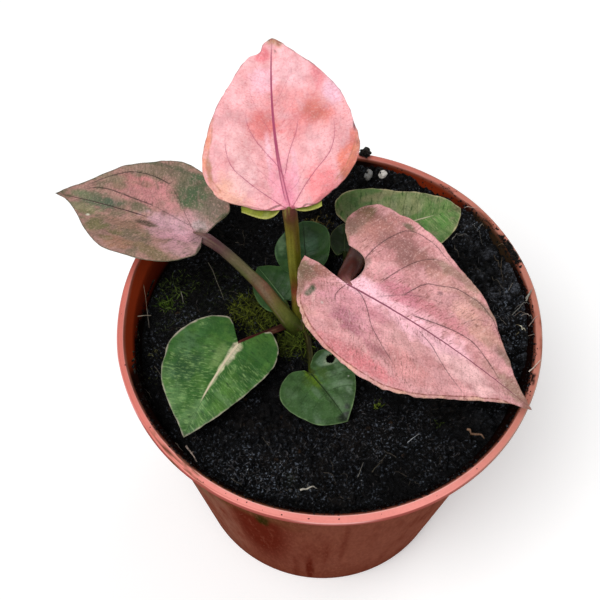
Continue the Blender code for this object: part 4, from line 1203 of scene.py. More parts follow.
LEAVES = [
    Leaf("leaf_upright", (-11.7, 7.1, 148), (-17.6, 34.5, 180), (0, -0.66, 0.75),
         [(0.03, -0.05), (0.02, -0.09), (0.005, -0.14), (0.01, -0.2), (0.04, -0.27), (0.08, -0.37),
          (0.14, -0.44), (0.28, -0.49), (0.45, -0.45), (0.64, -0.362), (0.8, -0.245), (0.91, -0.145),
          (0.925, -0.08), (0.97, -0.055), (0.99, -0.025)],
         [(0, 0.03), (0, 0.07), (0.025, 0.11), (0.015, 0.17), (0.06, 0.23), (0.1, 0.28), (0.12, 0.31),
          (0.22, 0.4), (0.34, 0.45), (0.48, 0.435), (0.66, 0.375), (0.8, 0.265), (0.9, 0.145), (0.95, 0.08),
          (0.985, 0.035)],
         fold=4, arch=0.03, bow=-0.038, roll_margin=0.03, colour=(253, 186, 190), pale=(255, 220, 218),
         edge=(124, 84, 80), edge_width=0.3, under=(176, 176, 96), rib=(170, 74, 106), rib_width=0.62,
         double_rib=0.4, rib_range=(-0.3, 1.2), vein=(186, 92, 116), vein_strength=0.9, groove=0.07,
         wave=0.06, stroke=0.5, fleck=(206, 98, 100), flecks=0.5, grain=0.42, mottle=(246, 156, 158),
         mottling=0.18, hem=1.9, hem_left=(0.14, 0.6), hem_right=(0.16, 0.46), hem_strength=0.4,
         hem_line=(170, 106, 74), hem_strip=(230, 150, 118), ripple=0.3, jags=0.6, columns=130, rows=90,
         slot="leaf_pink",
         veins=[([(0, -0.01), (0.05, -0.07), (0.13, -0.16), (0.21, -0.24), (0.3, -0.31), (0.42, -0.33),
                  (0.55, -0.31)], 0.2, 0.95),
                ([(0.2, -0.01), (0.27, -0.04), (0.34, -0.09), (0.43, -0.15), (0.53, -0.19),
                  (0.62, -0.19)], 0.18, 0.85),
                ([(0, 0.01), (0.04, 0.04), (0.13, 0.1), (0.23, 0.18), (0.33, 0.27), (0.45, 0.31),
                  (0.58, 0.3)], 0.2, 0.95),
                ([(0.22, 0), (0.3, 0.02), (0.38, 0.05), (0.47, 0.09), (0.57, 0.11)], 0.18, 0.85),
                ([(0.45, -0.05), (0.55, -0.1), (0.68, -0.15), (0.76, -0.15)], 0.12, 0.3),
                ([(0.62, -0.02), (0.72, 0.04), (0.8, 0.09), (0.84, 0.09)], 0.12, 0.4),
                ([(0.46, -0.02), (0.56, 0.04), (0.66, 0.1), (0.74, 0.12)], 0.1, 0.3),
                ([(0.12, -0.03), (0.2, -0.1), (0.27, -0.16), (0.36, -0.2)], 0.12, 0.4),
                ([(0.1, 0), (0.15, 0.06), (0.22, 0.1), (0.28, 0.14)], 0.12, 0.4)]),
    Leaf("leaf_left", (-35.4, 10.7, 128), (-80.2, 27.8, 120), (0, 0, 1),
         [(-0.03, -0.09), (-0.03, -0.17), (0.05, -0.27), (0.14, -0.32), (0.3, -0.34), (0.46, -0.328),
          (0.62, -0.24), (0.76, -0.125), (0.9, -0.03)],
         [(-0.04, 0.12), (-0.08, 0.2), (-0.01, 0.29), (0.15, 0.36), (0.31, 0.38), (0.48, 0.33),
          (0.65, 0.25), (0.8, 0.14), (0.92, 0.06)],
         fold=18, arch=0.028, stroke=0.9, roll_margin=0.02, colour=(172, 130, 120), pale=(206, 168, 158),
         edge=(76, 82, 60), edge_width=0.4, under=(120, 126, 92), rib=(74, 48, 50), rib_width=0.3,
         vein=(46, 38, 34), vein_strength=0.9, fleck=(74, 76, 54), flecks=0.6, grain=0.62,
         mottle=(122, 110, 88), mottling=0.7, rib_range=(0.3, 1.2), ripple=0.35, jags=0.2, quilt=0.3,
         columns=110, rows=84, slot="leaf_pink",
         veins=[([(0.06, 0.01), (0.14, 0.08), (0.22, 0.16), (0.31, 0.23)], 0.18, 0.6),
                ([(0.31, 0.23), (0.41, 0.25), (0.52, 0.25), (0.64, 0.21), (0.75, 0.14),
                  (0.86, 0.06)], 0.26, 1),
                ([(0.09, 0.03), (0.25, 0.06), (0.36, 0.08)], 0.16, 0.5),
                ([(0.36, 0.08), (0.52, 0.09), (0.65, 0.1), (0.76, 0.09), (0.86, 0.05)], 0.26, 0.95),
                ([(0.02, -0.02), (0.04, -0.07), (0.06, -0.13)], 0.18, 0.6),
                ([(0.05, -0.01), (0.18, -0.11), (0.34, -0.19), (0.5, -0.2), (0.66, -0.15)], 0.13, 0.35),
                ([(0.3, 0), (0.44, -0.08), (0.6, -0.11), (0.75, -0.08)], 0.12, 0.3)]),
    Leaf("leaf_right", (3.8, -1.3, 127), (54.7, -28, 112), (0, 0, 1),
         [(-0.09, -0.185), (-0.145, -0.24), (-0.165, -0.31), (-0.11, -0.395), (0.02, -0.42), (0.2, -0.4),
          (0.38, -0.34), (0.56, -0.27), (0.72, -0.17), (0.87, -0.06)],
         [(-0.235, -0.05), (-0.225, 0.03), (-0.18, 0.13), (-0.13, 0.23), (-0.02, 0.34), (0.17, 0.41),
          (0.36, 0.42), (0.53, 0.342), (0.72, 0.188), (0.88, 0.068)],
         fold=18, arch=0.06, stroke=0.8, wave=0.3, roll_margin=0.03, notch=(0.135, -0.06),
         colour=(228, 164, 166), pale=(250, 206, 200), edge=(160, 132, 112), edge_width=0.35,
         under=(150, 128, 104), rib=(138, 72, 92), rib_width=0.3, vein=(80, 54, 54), vein_strength=0.9,
         fleck=(136, 88, 80), flecks=0.8, grain=0.6, mottle=(192, 124, 124), mottling=0.42, hem=1.15,
         hem_right=(-0.14, 0.93), hem_strength=0.85, hem_line=(132, 70, 60), hem_strip=(226, 180, 152),
         ripple=0.8, jags=0.7, quilt=0.34, columns=140, rows=96, slot="leaf_pink",
         veins=[([(0.02, -0.06), (0.01, -0.12), (0.01, -0.18), (0.03, -0.25), (0.06, -0.31), (0.1, -0.36),
                  (0.17, -0.37), (0.26, -0.355), (0.34, -0.33), (0.42, -0.3)], 0.24, 0.85),
                ([(0.13, -0.1), (0.16, -0.17), (0.2, -0.24), (0.26, -0.3), (0.33, -0.325)], 0.18, 0.8),
                ([(0.24, -0.09), (0.29, -0.18), (0.35, -0.21), (0.41, -0.24), (0.48, -0.245), (0.56, -0.24),
                  (0.64, -0.21), (0.7, -0.17), (0.76, -0.1)], 0.2, 0.85),
                ([(0.33, -0.03), (0.41, -0.05), (0.5, -0.07), (0.6, -0.08), (0.68, -0.06), (0.76, -0.03),
                  (0.84, 0.01)], 0.22, 0.95),
                ([(0, 0.01), (-0.01, 0.05), (-0.01, 0.09), (0.01, 0.14)], 0.2, 0.8),
                ([(0.05, 0), (0.09, 0.02), (0.14, 0.07), (0.19, 0.14), (0.26, 0.2), (0.33, 0.25),
                  (0.39, 0.29)], 0.2, 0.85),
                ([(0.4, 0.03), (0.46, 0.055), (0.51, 0.09), (0.57, 0.13), (0.64, 0.16),
                  (0.7, 0.18)], 0.2, 0.8),
                ([(0.22, -0.01), (0.3, 0.05), (0.38, 0.12), (0.47, 0.18)], 0.12, 0.3),
                ([(-0.01, 0), (-0.05, 0.03), (-0.09, 0.06)], 0.16, 0.5),
                ([(0.16, -0.03), (0.26, -0.1), (0.36, -0.14), (0.46, -0.16)], 0.13, 0.5),
                ([(0.52, -0.12), (0.56, -0.17), (0.62, -0.2)], 0.13, 0.4)]),
    Leaf("leaf_front_left", (-25, -9.5, 105), (-37.3, -38, 103), (0.2, -0.1, 1),
         [(-0.24, -0.16), (-0.26, -0.22), (-0.13, -0.35), (0.05, -0.39), (0.25, -0.35), (0.47, -0.27),
          (0.68, -0.18), (0.87, -0.08)],
         [(-0.16, 0.14), (-0.19, 0.22), (-0.08, 0.37), (0.1, 0.48), (0.3, 0.54), (0.5, 0.5), (0.66, 0.43),
          (0.8, 0.28), (0.91, 0.12)],
         fold=8, arch=0.05, bow=0.03, stroke=1.3, colour=(50, 94, 36), pale=(100, 140, 74),
         edge=(184, 170, 156), edge_width=0.55, under=(120, 140, 92), rib=(216, 200, 172), rib_width=0.4,
         vein=(30, 62, 26), vein_strength=0.6, fleck=(28, 60, 22), flecks=0.6, grain=0.35,
         streak=(140, 172, 106), streaks=0.55, rib_range=(-1, 0.68), mottle=(80, 120, 50), mottling=0.5,
         ripple=0.25, jags=0.45, quilt=0.34, columns=110, rows=80,
         veins=side_veins((0.03, 0.12, 0.24, 0.38, 0.54), 0.5, 0.16)),
    Leaf("leaf_front_round", (-4.3, -15, 100), (6.6, -28.6, 99.5), (0, -0.1, 1),
         [(-0.16, -0.1), (-0.27, -0.26), (-0.26, -0.4), (-0.09, -0.53), (0.15, -0.57), (0.42, -0.55),
          (0.62, -0.44), (0.82, -0.25)],
         [(-0.14, 0.04), (-0.22, 0.26), (-0.1, 0.52), (0.12, 0.68), (0.38, 0.68), (0.62, 0.57), (0.84, 0.4),
          (0.96, 0.15)],
         fold=7, arch=0.08, hole=(-0.01, -0.4, 0.088), colour=(64, 96, 52), pale=(118, 144, 108),
         edge=(118, 144, 96), edge_width=0.3, under=(110, 128, 80), rib=(30, 48, 18), rib_width=0.24,
         vein=(34, 54, 26), vein_strength=0.7, fleck=(36, 56, 28), flecks=0.5, grain=0.35,
         mottle=(44, 70, 34), mottling=0.6, ripple=0.14, jags=0.14, quilt=0.4, columns=90, rows=64,
         veins=side_veins((0, 0.2, 0.42), 0.6, 0.25, 0.14, 0.6)),
    Leaf("leaf_back_right", (12.7, 28.5, 108), (37.1, 38.3, 108.5), (0.13, -0.32, 0.94),
         [(-0.28, -0.16), (-0.38, -0.34), (-0.34, -0.49), (-0.16, -0.54), (0.1, -0.48), (0.37, -0.37),
          (0.62, -0.28), (0.85, -0.15)],
         [(-0.12, 0.12), (-0.17, 0.24), (-0.08, 0.38), (0.14, 0.45), (0.4, 0.42), (0.66, 0.33),
          (0.84, 0.23), (0.96, 0.09)],
         fold=6, arch=0.04, stroke=1.2, colour=(96, 128, 68), pale=(166, 172, 124), edge=(206, 190, 150),
         edge_width=0.45, under=(120, 134, 92), rib=(200, 192, 160), rib_width=0.3, rib_range=(-1, 0.7),
         vein=(48, 70, 34), vein_strength=0.6, fleck=(56, 84, 38), flecks=0.8, grain=0.45,
         streak=(184, 184, 138), streaks=0.4, mottle=(128, 130, 92), mottling=0.6, ripple=0.3, jags=0.35,
         quilt=0.3, columns=90, rows=60,
         veins=side_veins((0, 0.14, 0.3, 0.46, 0.62), 0.46, 0.2, 0.16, 0.7)),
    Leaf("leaf_back_round", (-7.7, 17.5, 107), (-9.3, 27.6, 113), (0, -0.5, 0.86),
         [(-0.22, -0.14), (-0.27, -0.34), (-0.15, -0.57), (0.1, -0.71), (0.38, -0.73), (0.63, -0.59),
          (0.84, -0.33)],
         [(-0.18, 0.15), (-0.17, 0.35), (0, 0.52), (0.28, 0.61), (0.56, 0.63), (0.8, 0.55), (0.96, 0.27)],
         fold=4, arch=0.06, colour=(38, 68, 34), pale=(80, 110, 80), edge=(86, 118, 72), edge_width=0.25,
         under=(90, 110, 70), rib=(24, 42, 18), rib_width=0.2, vein=(24, 46, 22), vein_strength=0.5,
         fleck=(28, 50, 26), flecks=0.3, grain=0.25, ripple=0.1, jags=0.1, columns=60, rows=40,
         veins=side_veins((0, 0.22, 0.45), 0.6, 0.25, 0.14, 0.4)),
    Leaf("leaf_small_left", (-13.4, 8, 100.6), (-22, 18.2, 101.6), (0, -0.2, 1),
         [(-0.1, -0.14), (-0.14, -0.3), (0.02, -0.46), (0.3, -0.5), (0.6, -0.4), (0.84, -0.2)],
         [(-0.1, 0.14), (-0.14, 0.3), (0.02, 0.48), (0.3, 0.54), (0.6, 0.44), (0.84, 0.22)],
         fold=8, arch=0.05, colour=(34, 66, 26), pale=(70, 104, 56), edge=(80, 108, 56), edge_width=0.2,
         under=(90, 110, 70), rib=(96, 128, 84), rib_width=0.2, vein=(26, 48, 18), vein_strength=0.5,
         fleck=(24, 48, 18), flecks=0.3, grain=0.25, ripple=0.1, jags=0.1, columns=56, rows=36,
         veins=side_veins((0.05, 0.28, 0.5), 0.5, 0.22, 0.13, 0.4)),
    Leaf("leaf_small_back", (3.4, 26, 101.3), (2.6, 34.5, 102.8), (0, -0.3, 0.95),
         [(-0.14, -0.14), (-0.18, -0.3), (0.02, -0.46), (0.3, -0.52), (0.6, -0.44), (0.86, -0.22)],
         [(-0.14, 0.14), (-0.18, 0.3), (0.02, 0.46), (0.3, 0.52), (0.6, 0.44), (0.86, 0.22)],
         fold=8, arch=0.05, colour=(26, 42, 14), pale=(56, 74, 36), edge=(112, 116, 76), edge_width=0.22,
         under=(80, 96, 60), rib=(60, 74, 40), rib_width=0.16, vein=(22, 36, 14), vein_strength=0.3,
         fleck=(20, 34, 12), flecks=0.2, grain=0.2, ripple=0.1, jags=0.1, columns=44, rows=28,
         veins=side_veins((0.1, 0.4), 0.5, 0.22, 0.12, 0.3)),
]


# Steps along each side of a blade's outline, for distances from its margin.
RIM_STEPS = 70
# Turned-back lobes of the upright blade: across from and to, drop below the joint, skew.
UPRIGHT_LOBES = [(-0.285, -0.055, 0.052, 1.5), (0.03, 0.195, 0.026, 0.8)]


def blade_rim(leaf, turn, left):
    rim_left = smooth_curve(leaf.left + [(1, 0)], turn)
    rim_right = smooth_curve(leaf.right + [(1, 0)], turn)
    return np.where(left[..., None], rim_left, rim_right)


def blade_spots(leaf, across, reach):
    """Flat places for across -1 (left lobe) over 0 (midrib) to 1 (right lobe), and reach 0 to 1."""
    turn, left = 1 - np.abs(across), across < 0
    rim = blade_rim(leaf, turn, left)
    bend = rim / 2 + np.stack([0 * turn, 2 * leaf.bow * turn ** 3], -1)
    if leaf.notch:
        round_notch = (1 + 6 * turn) * (1 - smoothstep(turn / 0.7)) * left
        bend = bend + round_notch[..., None] * np.array(leaf.notch)
    share = reach[..., None]
    return 2 * share * (1 - share) * bend + share ** 2 * rim


def blade_frame(leaf):
    """Joint, length and the directions along, to the right and up."""
    joint = np.array(leaf.joint) * MM
    spine = np.array(leaf.tip) * MM - joint
    length = np.linalg.norm(spine)
    along = spine / length
    up = np.array(leaf.face, float)
    up -= up @ along * along
    up /= np.linalg.norm(up)
    return joint, length, along, np.cross(along, up), up


def leaf_finish(leaf):
    """Blade surface: painted ground, grain, flecks along the side veins, netting, veins, midrib and hem."""
    skin = Finish(leaf.name, Specular_IOR_Level=0.2)
    veins = skin.split(skin.layer("veins", "Vector"))
    extras = skin.split(skin.layer("extras", "Vector"))
    masks = skin.split(skin.layer("masks", "Vector"))
    run = skin.layer("run", "Vector")
    side, rib = skin.maths("ABSOLUTE", veins["X"]), skin.maths("ABSOLUTE", veins["Z"])
    strength, dots, rib_power = veins["Y"], extras["X"], extras["Y"]
    streaks, hem, double = masks["X"], masks["Y"], masks["Z"]
    pale, fleck, vein = srgb(*leaf.pale), srgb(*leaf.fleck), srgb(*leaf.vein)
    fine = skin.noise(0.5 * MM, 3, 0.6)
    medium = skin.noise(1.5 * MM, 4, 0.6)

    skin.lay(skin.product(skin.grade(fine, 0.50, 0.66), 0.62 * leaf.grain), fleck)
    skin.lay(skin.product(skin.grade(fine, 0.46, 0.32), leaf.grain * 0.55), pale)
    pearls = skin.grade(skin.cells(1.0 * MM, "F1"), 0.20, 0.10)
    skin.lay(skin.product(pearls, skin.grade(medium, 0.45, 0.62, 0.0, leaf.grain * 0.45)), pale)
    along = skin.noise(leaf.stroke, 4, 0.62, source=run)
    skin.lay(skin.product(skin.grade(along, 0.53, 0.66), dots), fleck)
    if leaf.streaks:
        threads = skin.noise(0.7 * leaf.stroke, 4, 0.66, source=run)
        threads = skin.grade(skin.maths("ADD", threads, skin.product(streaks, 0.14)), 0.56, 0.74)
        skin.lay(skin.product(threads, streaks), srgb(*leaf.streak))
    bands = skin.noise(2.4, 4, 0.68, source=run)
    skin.lay(skin.grade(bands, 0.52, 0.72, 0.0, 0.5 * leaf.grain), fleck)
    skin.lay(skin.grade(bands, 0.46, 0.28, 0.0, 0.5 * leaf.grain), pale)

    net = skin.grade(skin.cells(1.7 * MM), 0.10, 0.0)
    skin.lay(skin.product(net, 0.16 * leaf.vein_strength), vein)
    halo = skin.product(skin.grade(side, 5.0, 0.5), strength, 0.25 * leaf.vein_strength)
    skin.lay(skin.product(halo, skin.grade(fine, 0.35, 0.6)), vein)
    broken = skin.grade(skin.noise(1.2 * MM, 3), 0.25, 0.55, 0.45, 1.0)
    line = skin.product(skin.grade(side, 1.0, 0.25), strength, broken)
    skin.lay(skin.product(line, leaf.vein_strength), vein)
    spine = skin.grade(rib, 1.0, 0.45)
    core = skin.product(skin.grade(rib, 0.5, 0.22, 0.0, 0.75), double)
    skin.lay(skin.product(spine, skin.maths("SUBTRACT", 1.0, core), rib_power), srgb(*leaf.rib))
    if leaf.hem:
        seam = skin.grade(skin.maths("ABSOLUTE", hem), 0.30, 0.08)
        broken = skin.grade(medium, 0.34, 0.56, 0.1, leaf.hem_strength)
        skin.lay(skin.product(seam, broken), srgb(*leaf.hem_line))

    skin.feed("Base Color", skin.colour)
    skin.feed("Roughness", skin.grade(medium, 0.3, 0.7, 0.36, 0.55))
    grooves = skin.product(skin.maths("ADD", line, spine), -1.0)
    carved = skin.bump(grooves, leaf.groove * MM, 0.8)
    wrinkles = skin.bump(along, 0.25 * MM, 0.35, carved)
    skin.feed("Normal", skin.bump(fine, 0.06 * MM, 0.6, skin.bump(medium, 0.14 * MM, 0.5, wrinkles)))
    return skin.material


def hem_distance(leaf, spots, margin, left):
    """Distance in mm inwards from the hem vein, or far where a blade has none."""
    away = np.full(len(spots), 99.0)
    wander = 0.30 * noise(spots, 0.12, 83, 2)
    for (start, end), on_side in ((leaf.hem_left, left), (leaf.hem_right, ~left)):
        runs = on_side & (spots[:, 0] > start) & (spots[:, 0] < end)
        closing = 0.8 * smoothstep(1 - (end - spots[:, 0]) / 0.15)
        away = np.where(runs, margin / MM - leaf.hem * (1 - closing) * (1 + wander), away)
    return away


def nearest_vein(leaf, spots, length):
    """Signed distance to the nearest side vein in its half widths, its strength, and distance in m."""
    best = np.full(len(spots), 1e9)
    scaled, strength = np.full(len(spots), 99.0), np.zeros(len(spots))
    for number, (points, width, power) in enumerate(leaf.veins):
        line = smooth_curve(points, np.linspace(0, 1, 22)) * length
        distance, share = line_distance(spots * length, line)
        taper = 1 - 0.5 * share
        nearer = np.abs(distance) < best
        best = np.where(nearer, np.abs(distance), best)
        turned = -1 if number % 2 else 1
        scaled = np.where(nearer, turned * distance / (width * MM * taper), scaled)
        fade = ramp(share, 1.0, -0.25) * smoothstep(1.7 - best / (0.9 * MM))
        strength = np.where(nearer, power * fade, strength)
    return scaled, strength, best


def leaf_tint(leaf, spots, length, margin, hem):
    """Ground colour at flat places: patches with ragged edges, the strip outside the hem, and the margin."""
    flat = spots * length
    ragged = noise(flat, 1.8 * MM, 71, 3)
    coarse = noise(flat, 5 * MM, 72, 2)
    cloudy = smoothstep(2.4 * noise(flat * (1, 1.3), 3.2 * MM, 85, 4) + 0.1)
    coat = Paint(spots, *leaf.colour)
    coat.lay(leaf.mottling * cloudy, *leaf.mottle)
    for along, across, half_length, half_width, colour, strength in PATCHES.get(leaf.name, ()):
        reach = np.hypot((spots[:, 0] - along) / half_length, (spots[:, 1] - across) / half_width)
        coat.lay(strength * smoothstep((1.2 - reach + 0.5 * ragged + 0.3 * coarse) / 0.7), *colour)
    coat.lay(0.35 * leaf.mottling * cloudy, *leaf.mottle)
    if leaf.hem:
        coat.lay(smoothstep(0.5 - hem / 0.5) * (0.5 + 0.9 * ragged), *leaf.hem_strip)
    coat.lay(0.85 * smoothstep(1.25 - margin / (leaf.edge_width * MM) + 0.6 * ragged), *leaf.edge)
    return coat.colours * (1 + 0.22 * ragged[:, None] + 0.12 * coarse[:, None])


def blade_lift(leaf, spots, length, reach, across, walk, away, hem):
    """Height of a blade's middle surface over its flat plane: fold, arch, waves, quilting and margin."""
    crease = 0.04
    flat = spots * length
    lift = math.sin(math.radians(leaf.fold)) * (np.hypot(spots[:, 1], crease) - crease)
    lift += 4 * leaf.arch * spots[:, 0] * (1 - spots[:, 0])
    lift -= leaf.roll_margin * np.abs(across) * ramp(reach, 0.6, 0.4)
    lift *= length
    between = 1 - np.exp(-(away / (1.4 * MM)) ** 2)
    lift += leaf.quilt * MM * between * smoothstep(reach * 3)
    lift += leaf.wave * MM * noise(flat, 11 * MM, 75) * smoothstep(reach * 1.5)
    lift += leaf.ripple * MM * noise(walk, 4.5 * MM, 76, 2) * ramp(reach, 0.7, 0.3)
    lift += 0.09 * MM * noise(flat, 1.6 * MM, 77, 2)
    outside = smoothstep(-hem / max(leaf.hem, 1.0))
    lift -= 0.5 * MM * outside
    return lift + 0.35 * MM * outside * noise(walk, 1.6 * MM, 84, 2)


def make_leaf(leaf):
    """A blade of two sheets joined at the margin: rows run from the joint over the upper side to the margin
    and back below.
    """
    joint, length, along, right, up = blade_frame(leaf)
    reach_rows = np.concatenate([np.linspace(0, 1, leaf.rows), np.linspace(1, 0, leaf.rows // 2)])
    across, reach = np.meshgrid(np.linspace(-1, 1, 2 * leaf.columns + 1), reach_rows)
    below = np.repeat(np.arange(len(reach_rows)) >= leaf.rows, across.shape[1])
    across, reach = across.ravel(), reach.ravel()
    spots = blade_spots(leaf, across, reach)
    walk = blade_rim(leaf, 1 - np.abs(across), across < 0) * length
    jag = leaf.jags * MM * (0.5 + 0.5 * noise(walk, 1.7 * MM, 74, 2)) / np.linalg.norm(walk, axis=1)
    spots = spots * (1 - jag * reach ** 8)[:, None]
    flat = spots * length
    there, back = np.linspace(0, 1, RIM_STEPS), np.linspace(1, 0, RIM_STEPS)
    outline = np.concatenate([blade_rim(leaf, there, np.full(RIM_STEPS, True)),
                              blade_rim(leaf, back, np.full(RIM_STEPS, False))]) * length
    margin = np.abs(line_distance(flat, outline)[0])
    hem = hem_distance(leaf, spots, margin, spots[:, 1] < 0)
    scaled, strength, away = nearest_vein(leaf, spots, length)
    middle = 4 * leaf.bow * spots[:, 0] * (1 - spots[:, 0])
    rib_gap = (spots[:, 1] - middle) * length
    lift = blade_lift(leaf, spots, length, reach, across, walk, np.minimum(away, np.abs(rib_gap)), hem)
    half = BLADE_THICKNESS / 2 * (0.35 + 0.65 * ramp(reach, 1, -0.08))
    lift += np.where(below, -half, half)
    points = (joint + spots[:, :1] * length * along
              + spots[:, 1:] * length * math.cos(math.radians(leaf.fold)) * right + lift[:, None] * up)

    tint = leaf_tint(leaf, spots, length, margin, hem)
    under = np.array(srgb(*leaf.under)) * (1 + 0.15 * noise(flat, 3 * MM, 78, 2))[:, None]
    tint = np.where(below[:, None], 0.35 * tint + 0.65 * under, tint)
    faded = np.where(below, 0.5, 1.0)
    rib_width = leaf.rib_width * MM * np.clip(1.25 - 1.05 * spots[:, 0], 0.15, 2)
    rib_power = ramp(reach, 1.0, -0.12) * ramp(np.abs(across), 0.35, -0.1)
    rib_power *= ramp(spots[:, 0], leaf.rib_range[0], 0.15) * ramp(spots[:, 0], leaf.rib_range[1], -0.15)
    dots = leaf.flecks * smoothstep(0.5 + 1.2 * noise(flat, 6 * MM, 79, 2)) * faded
    beside = np.abs(spots[:, 1] - middle)
    meets = spots[:, 0] - 0.55 * beside + 0.35 * beside ** 2
    scale = length / MM
    near_rib = smoothstep(1.2 - beside * scale / 2.5)
    streaked = 0.25 + 0.7 * spots[:, 0] + 0.8 * near_rib + 1.1 * noise(flat, 6 * MM, 73)
    streaks = leaf.streaks * smoothstep(streaked)
    double = ramp(spots[:, 0], leaf.double_rib, -0.3)
    faces = grid_faces(len(reach_rows), 2 * leaf.columns + 1)[:, ::-1]
    if leaf.hole:
        in_hole = np.linalg.norm(spots - leaf.hole[:2], axis=1) < leaf.hole[2]
        faces = faces[~in_hole[faces].all(axis=1)]
    right_half = 40.0 * (spots[:, 1] > middle)
    return add_piece(leaf.name + "_blade", points, faces, leaf_finish(leaf), leaf.slot, (leaf.name,),
                     tint=tint,
                     veins=np.stack([np.clip(scaled, -99, 99), strength * faded, rib_gap / rib_width], 1),
                     extras=np.stack([dots, rib_power * faded, 0 * dots], 1),
                     masks=np.stack([streaks * faded, hem, double], 1),
                     run=np.stack([meets * scale * 1.6, beside * scale * 0.45, right_half], 1))


def make_turned_lobes(leaf, lobes):
    """The blade's basal lobes, turned back behind it: only their rounded ends show below its edge, painted
    darker under it as its shadow.
    """
    joint, length, along, right, up = blade_frame(leaf)
    columns, rows = 30, 14
    down = np.concatenate([np.linspace(0, 1, rows), np.linspace(1, 0, rows)])
    u, v = np.meshgrid(np.linspace(0, 1, columns), down)
    behind = np.repeat(np.arange(2 * rows) >= rows, columns)
    u, v = u.ravel(), v.ravel()
    heap = Heap()
    for inner, outer, drop, skew in lobes:
        low = -drop * np.sin(math.pi * u ** skew) ** 0.7
        rise = 0.06 + (low - 0.06) * v
        beside = inner + (outer - inner) * u
        flat = np.stack([rise, beside], 1) * length
        back = (1.0 - 0.5 * v ** 2 + 0.25 * noise(flat, 2 * MM, 86, 2)) * MM + BLADE_THICKNESS * behind
        points = (joint + rise[:, None] * length * along + beside[:, None] * length * right
                  - back[:, None] * up)
        # Darker towards the top, under the blade's edge: painted shadow, with random mottling.
        mottled = 0.75 + 0.35 * v + 0.25 * noise(flat, 1.5 * MM, 87, 2)
        rim = ramp(v, 0.86, 0.1)[:, None]
        tint = np.array(srgb(132, 140, 44)) * mottled[:, None]
        tint = tint * (1 - rim) + rim * np.array(srgb(190, 190, 104))
        heap.add(points, grid_faces(2 * rows, columns)[:, ::-1 if outer > inner else 1], tint)
    heap.piece(leaf.name + "_turned_lobes", SKIN, "leaf_green", (leaf.name,))


# ---------------------------------------------------------------- stalks

@dataclass
class Stalk:
    """A stalk's route in mm, radii at even shares of it, colours from foot to top and of its stripes."""
    name: str
    route: list
    radii: list
    colours: list
    slot: str = "stalk_green"
    marks: tuple = (110, 120, 70)


